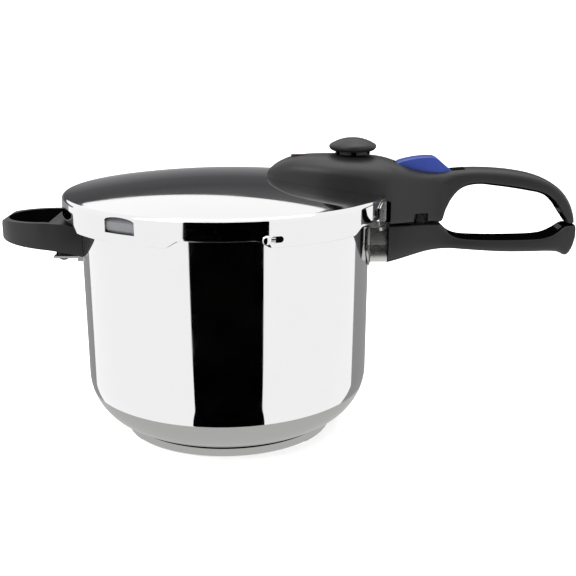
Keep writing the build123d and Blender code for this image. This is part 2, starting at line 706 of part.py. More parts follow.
with BuildPart() as lid_handle:
    with BuildSketch(Plane.XZ.offset(-40)):
        with BuildLine():
            crest = Spline(
                (32.3, 196.0),
                (33.0, 203.5),
                (41.0, 210.2),
                (52.0, 214.4),
                (67.0, 215.4),
                (98.0, 215.2),
                (121.0, 213.0),
                (143.0, 204.4),
                (160.0, 201.0),
                (176.0, 204.3),
                (200.0, 205.1),
                (228.0, 202.3),
                (249.9, 194.8),
                (262.0, 184.6),
                (268.6, 172.5),
                (HANDLE_TIP_X, 163.0),
            )
            tip = Line(crest @ 1, (264.4, 163.0))
            grip_under = Spline(
                tip @ 1,
                (259.5, 170.0),
                (254.4, 177.6),
                (246.0, 184.6),
                (234.0, 188.1),
                (214.0, 191.2),
                (194.0, 193.2),
                (182.7, 191.6),
                (174.6, 185.0),
                (169.4, 174.4),
                (166.4, LID_HANDLE_BOTTOM_Z),
            )
            Polyline(
                grip_under @ 1,
                (HANDLE_FACE_X, LID_HANDLE_BOTTOM_Z),
                (HANDLE_FACE_X, NOSE_BOTTOM_Z),
                (32.3, NOSE_BOTTOM_Z),
                crest @ 0,
            )
        make_face()
    extrude(amount=80)
    with BuildSketch(Plane.XY.offset(150)):
        with BuildLine():
            side = Spline(
                (32.3, 0),
                (34.0, 6.0),
                (40.0, 12.6),
                (53.0, 21.5),
                (70.0, 28.8),
                (88.0, 32.2),
                (105.0, 33.2),
                (120.0, 31.6),
                (133.0, 26.6),
                (146.0, 20.4),
                (160.0, 16.0),
                (178.0, 13.6),
                (204.0, GRIP_HALF),
                (240.0, GRIP_HALF),
                (262.0, 11.6),
                (HANDLE_TIP_X, 8.0),
            )
            Line(side @ 1, (HANDLE_TIP_X, 0))
            mirror(about=Plane.XZ)
        make_face()
    extrude(amount=80, mode=Mode.INTERSECT)
    add(lid_envelope.part, mode=Mode.SUBTRACT)
    add(nose_hollow.part, mode=Mode.SUBTRACT)
    add(lid_bracket_room.part, mode=Mode.SUBTRACT)
    add(lock_room.part, mode=Mode.SUBTRACT)
    with BuildSketch(Plane.XY.offset(160)):
        with Locations((STUB_X - 0.75, 0)):
            Rectangle(2 * STUB_SLOT_HALF, 60)
    extrude(amount=STUB_SLOT_TOP_Z - 160, mode=Mode.SUBTRACT)
    with BuildSketch(Plane.XY.offset(160)):
        with Locations((LID_SCREW_X, 0)):
            Circle(SCREW_RADIUS + 0.1)
    extrude(amount=LID_TONGUE_HIGH_Z + 4 - 160, mode=Mode.SUBTRACT)
    with BuildSketch(Plane.XY.offset(160)):
        with Locations((LID_SCREW_X, 0)):
            Circle(SCREW_HEAD_RADIUS + 0.3)
    extrude(amount=169.4 - 160, mode=Mode.SUBTRACT)
    with BuildSketch(Plane.XY.offset(205)):
        with Locations((VALVE_X, 0)):
            Circle(8.0)
        with Locations((INDICATOR_X, 0)):
            SlotOverall(13.0, 7.0)
    extrude(amount=12, mode=Mode.SUBTRACT)
save(lid_handle, "lid_handle")

lid_handle_screw = upright_screw(LID_SCREW_X, 166.7, LID_TONGUE_HIGH_Z + 3.5)
save(lid_handle_screw, "lid_handle_screw")

# ---------------------------------------------------------------- pressure indicator
INDICATOR_RADIUS = 2.0
with BuildPart() as indicator_bezel:
    with BuildSketch(Plane.XY.offset(211.6)):
        with Locations((INDICATOR_X, 0)):
            SlotOverall(12.8, 6.8)
            Circle(INDICATOR_RADIUS + CLEARANCE, mode=Mode.SUBTRACT)
    extrude(amount=3.6)
save(indicator_bezel, "indicator_bezel")

with BuildPart() as indicator_grommet:
    with BuildSketch(Plane.XY.offset(192.8)):
        with Locations((INDICATOR_X, 0)):
            Circle(6.0)
    extrude(amount=1.8)
    with BuildSketch(Plane.XY.offset(192.8)):
        with Locations((INDICATOR_X, 0)):
            Circle(GROMMET_STEM)
    extrude(amount=6.2)
    with BuildSketch(Plane.XY.offset(197.4)):
        with Locations((INDICATOR_X, 0)):
            Circle(6.0)
    extrude(amount=1.6)
    with Locations((INDICATOR_X, 0, 199.0)):
        Hole(INDICATOR_RADIUS + CLEARANCE)
save(indicator_grommet, "indicator_grommet")

with BuildPart() as pressure_indicator:
    with BuildSketch(Plane.XY.offset(186.4)):
        with Locations((INDICATOR_X, 0)):
            Circle(3.6)
    extrude(amount=1.1)
    with BuildSketch(Plane.XY.offset(187.5)):
        with Locations((INDICATOR_X, 0)):
            Circle(INDICATOR_RADIUS)
    extrude(amount=215.0 - 187.5)
    fillet(pressure_indicator.edges().group_by(Axis.Z)[-1], radius=0.8)
save(pressure_indicator, "pressure_indicator")


# ---------------------------------------------------------------- valves
def valve_housing(x, stem, flange, flange_z, top_z, orifice, seat_z, chamber):
    """Threaded tube through the lid: a fine orifice below, a chamber for the poppet above."""
    with BuildPart() as housing:
        with BuildSketch(Plane.XY.offset(flange_z)):
            with Locations((x, 0)):
                Circle(flange)
        extrude(amount=2.0)
        with BuildSketch(Plane.XY.offset(flange_z + 2.0)):
            with Locations((x, 0)):
                Circle(stem)
        extrude(amount=top_z - flange_z - 2.0)
        chamfer(housing.edges().group_by(Axis.Z)[-1], length=0.4)
        with Locations((x, 0, top_z)):
            CounterBoreHole(orifice, chamber, top_z - seat_z)
    return housing


def washer(x, inner, outer, low_z, high_z):
    """Flat ring round the line through x."""
    with BuildPart() as ring:
        with BuildSketch(Plane.XY.offset(low_z)):
            with Locations((x, 0)):
                Circle(outer)
                Circle(inner, mode=Mode.SUBTRACT)
        extrude(amount=high_z - low_z)
    return ring


def hex_nut(x, inner, across_flats, low_z, height):
    """Hexagonal nut round the line through x."""
    with BuildPart() as nut:
        with BuildSketch(Plane.XY.offset(low_z)):
            with Locations((x, 0)):
                RegularPolygon(across_flats / 2, 6, major_radius=False)
                Circle(inner, mode=Mode.SUBTRACT)
        extrude(amount=height)
    return nut


def poppet(x, seat_z, tip, body, height):
    """Valve poppet: a cone that closes the orifice, under a round body."""
    with BuildPart() as piece:
        with BuildSketch(Plane(origin=(x, 0, seat_z + CLEARANCE), x_dir=(1, 0, 0), z_dir=(0, -1, 0))):
            with BuildLine():
                Polyline(
                    (0, -1.6),
                    (tip * 0.4, -1.2),
                    (tip, 0),
                    (body, 0),
                    (body, height),
                    (body * 0.4, height),
                    (body * 0.4, height + 2.0),
                    (0, height + 2.0),
                    close=True,
                )
            make_face()
        revolve(axis=Axis((x, 0, 0), (0, 0, 1)))
    return piece


VALVE_BODY_TOP_Z = 210.0
VALVE_ORIFICE_Z = 199.0
valve_body = valve_housing(VALVE_X, VALVE_STEM, 8.0, 186.2, VALVE_BODY_TOP_Z, 1.6, VALVE_ORIFICE_Z, 3.3)
save(valve_body, "valve_body")
valve_seal = washer(VALVE_X, VALVE_STEM + 0.1, 8.0, 188.2, VALVE_SEAT_LOW_Z)
save(valve_seal, "valve_seal")
valve_nut = hex_nut(VALVE_X, VALVE_STEM + 0.05, 14.0, VALVE_SEAT_HIGH_Z, 3.0)
save(valve_nut, "valve_nut")
valve_poppet = poppet(VALVE_X, VALVE_ORIFICE_Z, 1.2, 2.9, 2.6)
save(valve_poppet, "valve_poppet")
valve_spring_low_z = VALVE_ORIFICE_Z + CLEARANCE + 2.7
valve_spring = coil(2.0, 0.3, (VALVE_X, 0, valve_spring_low_z), 212.7 - valve_spring_low_z, 7)
save(valve_spring, "valve_spring")

SAFETY_BODY_TOP_Z = 209.0
SAFETY_ORIFICE_Z = 197.5
safety_valve_body = valve_housing(
    SAFETY_X, SAFETY_STEM, 6.5, 189.9, SAFETY_BODY_TOP_Z, 1.4, SAFETY_ORIFICE_Z, 3.0
)
save(safety_valve_body, "safety_valve_body")
safety_valve_seal = washer(SAFETY_X, SAFETY_STEM + 0.1, 6.5, 191.9, SAFETY_SEAT_LOW_Z)
save(safety_valve_seal, "safety_valve_seal")
safety_valve_nut = hex_nut(SAFETY_X, SAFETY_STEM + 0.05, 12.0, SAFETY_SEAT_HIGH_Z, 3.0)
save(safety_valve_nut, "safety_valve_nut")
safety_poppet = poppet(SAFETY_X, SAFETY_ORIFICE_Z, 1.1, 2.7, 2.4)
save(safety_poppet, "safety_poppet")
safety_spring_low_z = SAFETY_ORIFICE_Z + CLEARANCE + 2.5
safety_spring = coil(1.8, 0.3, (SAFETY_X, 0, safety_spring_low_z), 207.4 - safety_spring_low_z, 6)
save(safety_spring, "safety_spring")

with BuildPart() as safety_cap:
    with BuildSketch(Plane.XY.offset(207.5)):
        with Locations((SAFETY_X, 0)):
            Circle(2.9)
    extrude(amount=1.5)
    with BuildSketch(Plane.XY.offset(209.0)):
        with Locations((SAFETY_X, 0)):
            Circle(SAFETY_STEM + 0.6)
    extrude(amount=1.6)
    with BuildSketch(Plane.XY.offset(209.8)):
        with Locations((SAFETY_X, 0)):
            Rectangle(12, 1.2)
    extrude(amount=1, mode=Mode.SUBTRACT)
save(safety_cap, "safety_cap")

# ---------------------------------------------------------------- selector knob
KNOB_UNDER_Z = 218.4
NECK_RADIUS = 13.3
NECK_LOW_Z = 215.7
SLEEVE_OUTER = 7.6
SLEEVE_INNER = 5.4
SLEEVE_LOW_Z = 204.0
GRIP_RIBS = 24

with BuildPart() as selector_knob:
    with BuildSketch(Plane.XZ):
        with BuildLine():
            under = Polyline(
                (VALVE_X, 213.0),
                (VALVE_X + SLEEVE_INNER, 213.0),
                (VALVE_X + SLEEVE_INNER, SLEEVE_LOW_Z),
                (VALVE_X + SLEEVE_OUTER, SLEEVE_LOW_Z),
                (VALVE_X + SLEEVE_OUTER, NECK_LOW_Z),
                (VALVE_X + NECK_RADIUS, NECK_LOW_Z),
                (VALVE_X + NECK_RADIUS, KNOB_UNDER_Z),
                (VALVE_X + KNOB_RADIUS - 1.4, KNOB_UNDER_Z),
                (VALVE_X + KNOB_RADIUS, KNOB_UNDER_Z + 1.4),
                (VALVE_X + KNOB_RADIUS, 222.8),
            )
            crown = Spline(
                under @ 1,
                (VALVE_X + 15.8, 225.4),
                (VALVE_X + 10.0, 227.5),
                (VALVE_X, KNOB_TOP_Z),
                tangents=[(0, 1), (-1, 0)],
            )
            Line(crown @ 1, under @ 0)
        make_face()
    revolve(axis=Axis((VALVE_X, 0, 0), (0, 0, 1)))
    with BuildSketch(Plane.XY.offset(NECK_LOW_Z + 0.6)):
        with Locations((VALVE_X, 0)):
            with PolarLocations(NECK_RADIUS, 12, start_angle=15):
                Rectangle(1.6, 4.0)
    extrude(amount=1.6, mode=Mode.SUBTRACT)
    with BuildSketch(Plane.XY.offset(KNOB_UNDER_Z - 0.1)):
        with Locations((VALVE_X, 0)):
            with PolarLocations(KNOB_RADIUS + 0.4, GRIP_RIBS):
                Circle(0.9)
    extrude(amount=4.2, mode=Mode.SUBTRACT)
save(selector_knob, "selector_knob")

knob_clip = washer(VALVE_X, SLEEVE_OUTER + 0.05, 10.5, SLEEVE_LOW_Z + 1.2, SLEEVE_LOW_Z + 2.2)
save(knob_clip, "knob_clip")

# ---------------------------------------------------------------- sliding lock
with BuildPart() as lock_button:
    with BuildSketch(Plane.XZ.offset(-(LOCK_POCKET_HALF - 0.4))):
        with BuildLine():
            Polyline(
                (131.0, LOCK_FLOOR_Z + CLEARANCE),
                (131.0, 209.0),
                (133.0, 210.4),
                (147.9, 213.7),
                (158.0, 214.1),
                (161.8, 213.6),
                (168.0, 208.4),
                (175.0, 202.6),
                (175.0, LOCK_FLOOR_Z + CLEARANCE),
                close=True,
            )
        button_side = make_face()
        fillet(button_side.vertices().sort_by(Axis.Y)[-4:], radius=1.2)
    extrude(amount=2 * (LOCK_POCKET_HALF - 0.4))
    with BuildSketch(Plane.XY.offset(LOCK_FLOOR_Z)):
        with Locations((LOCK_POST_X, LOCK_BAR_Y)):
            Rectangle(2 * LOCK_POST_HALF, 2 * LOCK_BAR_HALF)
    extrude(amount=4.0, mode=Mode.SUBTRACT)
save(lock_button, "lock_button")

with BuildPart() as lock_bar:
    with BuildSketch(Plane.XY.offset(LOCK_BAR_LOW_Z)):
        with Locations((123.4, LOCK_BAR_Y)):
            Rectangle(
                LOCK_POST_X + LOCK_POST_HALF - 123.4, 2 * LOCK_BAR_HALF, align=(Align.MIN, Align.CENTER)
            )
    extrude(amount=LOCK_BAR_HIGH_Z - LOCK_BAR_LOW_Z)
    with BuildSketch(Plane.XY.offset(LOCK_BAR_LOW_Z)):
        with Locations((LOCK_POST_X, LOCK_BAR_Y)):
            Rectangle(2 * LOCK_POST_HALF, 2 * LOCK_BAR_HALF)
    extrude(amount=LOCK_FLOOR_Z + 4.0 - LOCK_BAR_LOW_Z)
save(lock_bar, "lock_bar")

lock_spring_start_x = LOCK_POST_X + LOCK_POST_HALF
lock_spring = coil(
    LOCK_SPRING_RADIUS,
    LOCK_SPRING_WIRE,
    (lock_spring_start_x, LOCK_BAR_Y, LOCK_SPRING_Z),
    LOCK_SPRING_END_X - lock_spring_start_x,
    9,
    direction=(1, 0, 0),
)
save(lock_spring, "lock_spring")
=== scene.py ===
import json
import math

import bmesh
import bpy
from bpy.props import FloatProperty, FloatVectorProperty, IntProperty, PointerProperty
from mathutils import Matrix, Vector


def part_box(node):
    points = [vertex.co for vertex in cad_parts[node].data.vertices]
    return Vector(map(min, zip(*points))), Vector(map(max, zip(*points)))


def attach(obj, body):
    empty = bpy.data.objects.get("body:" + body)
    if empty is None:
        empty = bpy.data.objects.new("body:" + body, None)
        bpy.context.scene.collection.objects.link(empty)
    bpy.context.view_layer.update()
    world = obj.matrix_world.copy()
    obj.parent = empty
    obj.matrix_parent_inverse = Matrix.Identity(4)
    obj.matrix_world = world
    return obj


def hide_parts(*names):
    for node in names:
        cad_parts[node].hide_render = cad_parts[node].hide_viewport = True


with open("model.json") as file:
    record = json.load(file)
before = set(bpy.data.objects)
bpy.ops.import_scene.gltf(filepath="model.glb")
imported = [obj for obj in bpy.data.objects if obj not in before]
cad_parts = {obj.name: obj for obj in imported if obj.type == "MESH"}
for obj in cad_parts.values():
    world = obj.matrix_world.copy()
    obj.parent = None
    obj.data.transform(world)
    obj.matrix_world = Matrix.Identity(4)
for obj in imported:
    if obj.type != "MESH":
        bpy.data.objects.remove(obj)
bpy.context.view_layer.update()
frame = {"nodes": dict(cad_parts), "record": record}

bl_info = {
    "name": "Stovetop Pressure Cooker",
    "version": (1, 0, 0),
    "blender": (4, 5, 0),
    "location": "View3D > Sidebar > Cooker",
    "description": "Builds the visible shells, finishes and studio of a stovetop pressure cooker",
    "category": "Object",
}

# Lengths are millimetres until mm() turns them into metres; the studio is given in metres.
MM = 0.001


# ---- small helpers
def mm(x, y, z):
    """A point given in millimetres."""
    return Vector((x * MM, y * MM, z * MM))


def linear(hex_colour):
    """An sRGB hex colour as linear red, green, blue and alpha."""
    channels = []
    for i in (1, 3, 5):
        c = int(hex_colour[i:i + 2], 16) / 255
        channels.append(c / 12.92 if c <= 0.04045 else ((c + 0.055) / 1.055) ** 2.4)
    return (*channels, 1.0)


def smooth_step(t):
    """0 to 1 with level ends."""
    t = min(1.0, max(0.0, t))
    return t * t * (3 - 2 * t)


def turn_apart(a, b):
    """Smallest angle between two directions, in degrees."""
    return abs((a - b + 180) % 360 - 180)


def arc(centre, radius, start, end, steps):
    """Points on an arc in a section; angles in degrees from the outward direction."""
    points = []
    for i in range(steps + 1):
        a = math.radians(start + (end - start) * i / steps)
        points.append((centre[0] + radius * math.cos(a), centre[1] + radius * math.sin(a)))
    return points


def node_top(name):
    """Highest z of a CAD node in millimetres."""
    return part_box(name)[1][2] / MM


# ---- mesh building
def new_piece(name, vertices, faces, crease=35.0):
    """A mesh object, smooth except at edges sharper than crease degrees."""
    mesh = bpy.data.meshes.new(name)
    mesh.from_pydata([tuple(v) for v in vertices], [], faces)
    mesh.validate()
    piece = bpy.data.objects.new(name, mesh)
    bpy.context.scene.collection.objects.link(piece)
    shade(piece, crease)
    return piece


def shade(piece, crease=35.0):
    """Smooth shading with sharp edges where two faces meet at more than crease degrees."""
    mesh = piece.data
    mesh.shade_smooth()
    mesh.set_sharp_from_angle(angle=math.radians(crease))


def settle(piece, crease=35.0):
    """Turns a piece's modifiers into its mesh."""
    graph = bpy.context.evaluated_depsgraph_get()
    solid = bpy.data.meshes.new_from_object(piece.evaluated_get(graph))
    piece.modifiers.clear()
    old = piece.data
    piece.data = solid
    solid.name = piece.name
    bpy.data.meshes.remove(old)
    shade(piece, crease)


def discard(piece):
    """Removes a piece and its mesh."""
    mesh = piece.data
    bpy.data.objects.remove(piece)
    bpy.data.meshes.remove(mesh)


def combine(piece, others, operation, crease=35.0):
    """Boolean of a piece with other closed pieces, which are used up."""
    for other in others:
        step = piece.modifiers.new(operation.lower(), "BOOLEAN")
        step.operation = operation
        step.solver = "EXACT"
        step.object = other
    settle(piece, crease)
    for other in others:
        discard(other)


def cut(piece, *tools, crease=35.0):
    """Takes the tools' shapes out of a piece."""
    combine(piece, tools, "DIFFERENCE", crease)


def fuse(name, pieces, crease=35.0):
    """Joins the boundaries of overlapping closed pieces into one solid."""
    first = pieces[0]
    first.name = name
    combine(first, pieces[1:], "UNION", crease)
    return first


def gather(name, pieces, crease=35.0):
    """Puts several closed shells into one object."""
    vertices = []
    faces = []
    for piece in pieces:
        base = len(vertices)
        vertices += [v.co.copy() for v in piece.data.vertices]
        faces += [[base + i for i in p.vertices] for p in piece.data.polygons]
        discard(piece)
    return new_piece(name, vertices, faces, crease)


def bevel(piece, width, segments=3, crease=35.0, limit=40.0):
    """Rounds a piece's sharp edges."""
    step = piece.modifiers.new("round", "BEVEL")
    step.width = width * MM
    step.segments = segments
    step.limit_method = "ANGLE"
    step.angle_limit = math.radians(limit)
    settle(piece, crease)


def turned(name, section, x=0.0, y=0.0, steps=256, crease=35.0):
    """A turned solid about the upright line through x and y.

    section is a list of (radius, z), or a function of the angle in degrees that gives one;
    it starts and ends on the axis, or closes on itself where it never meets the axis.
    """
    first = section(0.0) if callable(section) else section
    open_ends = first[0][0] == 0
    count = len(first)
    vertices = []
    if open_ends:
        vertices += [mm(x, y, first[0][1]), mm(x, y, first[-1][1])]
    inner = range(1, count - 1) if open_ends else range(count)
    for k in range(steps):
        angle = 360.0 * k / steps
        a = math.radians(angle)
        points = section(angle) if callable(section) else section
        for i in inner:
            r, z = points[i]
            vertices.append(mm(x + r * math.cos(a), y + r * math.sin(a), z))
    width = len(inner)
    start = 2 if open_ends else 0
    faces = []
    for k in range(steps):
        here = start + k * width
        there = start + (k + 1) % steps * width
        for i in range(width - 1):
            faces.append((here + i, there + i, there + i + 1, here + i + 1))
        if open_ends:
            faces.append((0, there, here))
            faces.append((1, here + width - 1, there + width - 1))
        else:
            faces.append((here + width - 1, there + width - 1, there, here))
    return new_piece(name, vertices, faces, crease)


def round_hole(name, x, radius, low, high, steps):
    """Upright cylinder on the line through the handles, to cut a hole with."""
    return turned(name, [(0, low), (radius, low), (radius, high), (0, high)], x=x, steps=steps)


def screw_hole(x, low, seat, high):
    """Cutter for a screw from below: a wide counterbore up to the seat, then a narrow hole."""
    return turned("screw_hole", [(0, low), (4.8, low), (4.8, seat), (2.6, seat + 0.1), (2.6, high),
                                 (0, high)], x=x, steps=48)


def prism(name, outline, place, depth, crease=35.0):
    """Closed outline pushed along a direction: place(u, v, w) gives the point, w from 0 to depth."""
    count = len(outline)
    vertices = [place(u, v, 0.0) for u, v in outline] + [place(u, v, depth) for u, v in outline]
    faces = [tuple(range(count))[::-1], tuple(range(count, 2 * count))]
    for i in range(count):
        j = (i + 1) % count
        faces.append((i, j, count + j, count + i))
    piece = new_piece(name, vertices, faces, crease)
    face_outward(piece)
    return piece


def face_outward(piece):
    """Merges coincident points of a closed shell and turns its faces outward."""
    shell = bmesh.new()
    shell.from_mesh(piece.data)
    bmesh.ops.remove_doubles(shell, verts=shell.verts, dist=0.01 * MM)
    bmesh.ops.recalc_face_normals(shell, faces=shell.faces)
    shell.to_mesh(piece.data)
    shell.free()


def rounded_box(name, low, high, radius=0.0, steps=6):
    """Upright block between two corners, with its four upright edges rounded."""
    (x0, y0, z0), (x1, y1, z1) = low, high
    if radius <= 0:
        outline = [(x0, y0), (x1, y0), (x1, y1), (x0, y1)]
    else:
        outline = []
        corners = [(x1, y1, 0), (x0, y1, 90), (x0, y0, 180), (x1, y0, 270)]
        for cx, cy, start in corners:
            centre = (cx - math.copysign(radius, cx - (x0 + x1) / 2),
                      cy - math.copysign(radius, cy - (y0 + y1) / 2))
            outline += arc(centre, radius, start, start + 90, steps)
    return prism(name, outline, lambda u, v, w: mm(u, v, z0 + w), z1 - z0)


def side_prism(name, outline, y0, y1):
    """Outline in x and z pushed from y0 to y1."""
    return prism(name, outline, lambda u, v, w: mm(u, y0 + w, v), y1 - y0)


def curve_through(points, steps):
    """Smooth list through tuples of numbers: a Catmull-Rom curve with steps pieces per span."""
    result = []
    last = len(points) - 1
    for i in range(last):
        p0 = points[max(i - 1, 0)]
        p1 = points[i]
        p2 = points[i + 1]
        p3 = points[min(i + 2, last)]
        for k in range(steps):
            t = k / steps
            result.append(tuple(
                0.5 * (2 * b + (c - a) * t + (2 * a - 5 * b + 4 * c - d) * t * t
                       + (3 * b - a - 3 * c + d) * t ** 3)
                for a, b, c, d in zip(p0, p1, p2, p3)
            ))
    result.append(tuple(points[last]))
    return result


def ribbed_section(station, points_round):
    """Ring of points for one station of a moulded bar.

    station: top x, top z, bottom x, bottom z, half width, fullness of the upper part, fullness
    of the lower part, and how far up the widest line lies, from 0 at the bottom to 1.
    """
    tx, tz, bx, bz, half, full_top, full_low, split = station
    mx = bx + (tx - bx) * split
    mz = bz + (tz - bz) * split
    ring = []
    for k in range(points_round):
        a = 2 * math.pi * k / points_round
        c = math.cos(a)
        s = math.sin(a)
        full = full_top if s >= 0 else full_low
        across = half * math.copysign(abs(c) ** (2 / full), c)
        lift = abs(s) ** (2 / full)
        if s >= 0:
            ring.append(mm(mx + (tx - mx) * lift, across, mz + (tz - mz) * lift))
        else:
            ring.append(mm(mx + (bx - mx) * lift, across, mz + (bz - mz) * lift))
    return ring


def moulded_bar(name, spans, steps=4, points_round=72, crease=30.0):
    """Closed bar through the stations of one or more spans; spans meet at a sharp edge."""
    rings = []
    for span in spans:
        rings += [ribbed_section(s, points_round) for s in curve_through(span, steps)]
    vertices = [v for ring in rings for v in ring]
    faces = []
    for r in range(len(rings) - 1):
        for k in range(points_round):
            j = (k + 1) % points_round
            here = r * points_round
            there = here + points_round
            faces.append((here + k, here + j, there + j, there + k))
    faces.append(tuple(range(points_round))[::-1])
    last = (len(rings) - 1) * points_round
    faces.append(tuple(range(last, last + points_round)))
    piece = new_piece(name, vertices, faces, crease)
    face_outward(piece)
    shade(piece, crease)
    return piece


# ---- finishes
def add_node(tree, kind, inputs=None, settings=None):
    """Adds a shader node; an input is a plain value or the socket that feeds it."""
    made = tree.nodes.new(kind)
    for key, value in (settings or {}).items():
        setattr(made, key, value)
    for key, value in (inputs or {}).items():
        if isinstance(value, bpy.types.NodeSocket):
            tree.links.new(value, made.inputs[key])
        else:
            made.inputs[key].default_value = value
    return made


def start_material(name, **sockets):
    """A material with its shader's plain sockets set; returns it with its tree and shader."""
    material = bpy.data.materials.new(name)
    material.use_nodes = True
    tree = material.node_tree
    shader = tree.nodes["Principled BSDF"]
    for key, value in sockets.items():
        shader.inputs[key.replace("_", " ")].default_value = value
    return material, tree, shader


def plug(tree, shader, **outputs):
    """Feeds outputs into the shader's sockets, named with _ for a space."""
    for key, output in outputs.items():
        tree.links.new(output, shader.inputs[key.replace("_", " ")])


def set_ramp(node, *stops):
    """Sets a colour ramp's stops: (place, linear colour)."""
    elements = node.color_ramp.elements
    while len(elements) < len(stops):
        elements.new(0.5)
    for element, (place, colour) in zip(elements, stops):
        element.position = place
        element.color = colour


def dimmed(colour, share):
    """A linear colour times a share, with full alpha."""
    return [min(1.0, c * share) for c in colour[:3]] + [1.0]


def per_metre(size_mm):
    """Noise scale whose features are about this many millimetres across."""
    return 1000.0 / size_mm


def polished_stainless(colour):
    """18/10 stainless steel, buffed to a mirror.

    The sheet is drawn and then polished, so reflections are crisp but swim a little where the
    metal is not dead flat, and a thin haze of buffing marks dulls them unevenly.
    """
    material, tree, shader = start_material("mirror_polished_stainless_steel", Metallic=1.0)
    where = add_node(tree, "ShaderNodeTexCoord").outputs["Object"]
    swim = add_node(tree, "ShaderNodeTexNoise", {
        "Vector": where, "Scale": per_metre(70), "Detail": 1.0})
    haze = add_node(tree, "ShaderNodeTexNoise", {
        "Vector": where, "Scale": per_metre(26), "Detail": 4.0})
    rough = add_node(tree, "ShaderNodeMapRange", {
        "Value": haze.outputs["Fac"], "From Min": 0.3, "From Max": 0.7,
        "To Min": 0.025, "To Max": 0.06})
    tone = add_node(tree, "ShaderNodeValToRGB", {"Fac": haze.outputs["Fac"]})
    set_ramp(tone, (0.0, dimmed(colour, 0.97)), (1.0, colour))
    bump = add_node(tree, "ShaderNodeBump", {
        "Height": swim.outputs["Fac"], "Strength": 0.04, "Distance": 0.002})
    plug(tree, shader, Base_Color=tone.outputs["Color"], Roughness=rough.outputs["Result"],
         Normal=bump.outputs["Normal"])
    return material


def satin_stainless(colour):
    """Stainless steel strip, brushed along its length: soft stretched highlights."""
    material, tree, shader = start_material("brushed_stainless_steel", Metallic=1.0)
    stretched = add_node(tree, "ShaderNodeMapping", {
        "Vector": add_node(tree, "ShaderNodeTexCoord").outputs["Object"],
        "Scale": (1.0, 1.0, 14.0)})
    # brush lines are about 0.05 mm apart; drawn at 0.6 mm so that they show
    lines = add_node(tree, "ShaderNodeTexNoise", {
        "Vector": stretched.outputs["Vector"], "Scale": per_metre(9), "Detail": 5.0})
    rough = add_node(tree, "ShaderNodeMapRange", {
        "Value": lines.outputs["Fac"], "To Min": 0.24, "To Max": 0.29})
    shader.inputs["Base Color"].default_value = colour
    plug(tree, shader, Roughness=rough.outputs["Result"])
    return material


def moulded_phenolic(colour):
    """Black phenolic resin from a spark-eroded mould: deep charcoal with a fine satin grain."""
    material, tree, shader = start_material("moulded_phenolic", IOR=1.55, Specular_IOR_Level=0.27)
    where = add_node(tree, "ShaderNodeTexCoord").outputs["Object"]
    # the mould's grain is about 0.1 mm; drawn at 0.45 mm so that it shows
    grain = add_node(tree, "ShaderNodeTexNoise", {
        "Vector": where, "Scale": per_metre(0.45), "Detail": 2.0})
    cloud = add_node(tree, "ShaderNodeTexNoise", {
        "Vector": where, "Scale": per_metre(35), "Detail": 3.0})
    tone = add_node(tree, "ShaderNodeValToRGB", {"Fac": cloud.outputs["Fac"]})
    set_ramp(tone, (0.0, dimmed(colour, 0.8)), (1.0, dimmed(colour, 1.15)))
    rough = add_node(tree, "ShaderNodeMapRange", {
        "Value": cloud.outputs["Fac"], "To Min": 0.36, "To Max": 0.5})
    bump = add_node(tree, "ShaderNodeBump", {
        "Height": grain.outputs["Fac"], "Strength": 0.18, "Distance": 0.0002})
    plug(tree, shader, Base_Color=tone.outputs["Color"], Roughness=rough.outputs["Result"],
         Normal=bump.outputs["Normal"])
    return material


def coloured_plastic(name, colour, roughness, ior):
    """Injection-moulded plastic, dyed through: even colour, a soft skin and slight flow marks."""
    material, tree, shader = start_material(name, IOR=ior)
    where = add_node(tree, "ShaderNodeTexCoord").outputs["Object"]
    flow = add_node(tree, "ShaderNodeTexNoise", {
        "Vector": where, "Scale": per_metre(14), "Detail": 3.0})
    skin = add_node(tree, "ShaderNodeTexNoise", {
        "Vector": where, "Scale": per_metre(0.6), "Detail": 1.0})
    tone = add_node(tree, "ShaderNodeValToRGB", {"Fac": flow.outputs["Fac"]})
    set_ramp(tone, (0.0, dimmed(colour, 0.9)), (1.0, dimmed(colour, 1.08)))
    rough = add_node(tree, "ShaderNodeMapRange", {
        "Value": flow.outputs["Fac"], "To Min": roughness - 0.05, "To Max": roughness + 0.07})
    bump = add_node(tree, "ShaderNodeBump", {
        "Height": skin.outputs["Fac"], "Strength": 0.1, "Distance": 0.0001})
    plug(tree, shader, Base_Color=tone.outputs["Color"], Roughness=rough.outputs["Result"],
         Normal=bump.outputs["Normal"])
    return material


def painted_shade_phenolic():
    """The same resin painted nearly black, smooth and without grain: painted shade for recesses,
    undersides and joints that little light reaches.
    """
    material, tree, shader = start_material("phenolic_painted_shade", IOR=1.55, Specular_IOR_Level=0.0)
    flow = add_node(tree, "ShaderNodeTexNoise", {
        "Vector": add_node(tree, "ShaderNodeTexCoord").outputs["Object"],
        "Scale": per_metre(12), "Detail": 2.0})
    tone = add_node(tree, "ShaderNodeValToRGB", {"Fac": flow.outputs["Fac"]})
    set_ramp(tone, (0.0, linear("#020202")), (1.0, linear("#070707")))
    rough = add_node(tree, "ShaderNodeMapRange", {
        "Value": flow.outputs["Fac"], "To Min": 0.45, "To Max": 0.6})
    plug(tree, shader, Base_Color=tone.outputs["Color"], Roughness=rough.outputs["Result"])
    return material


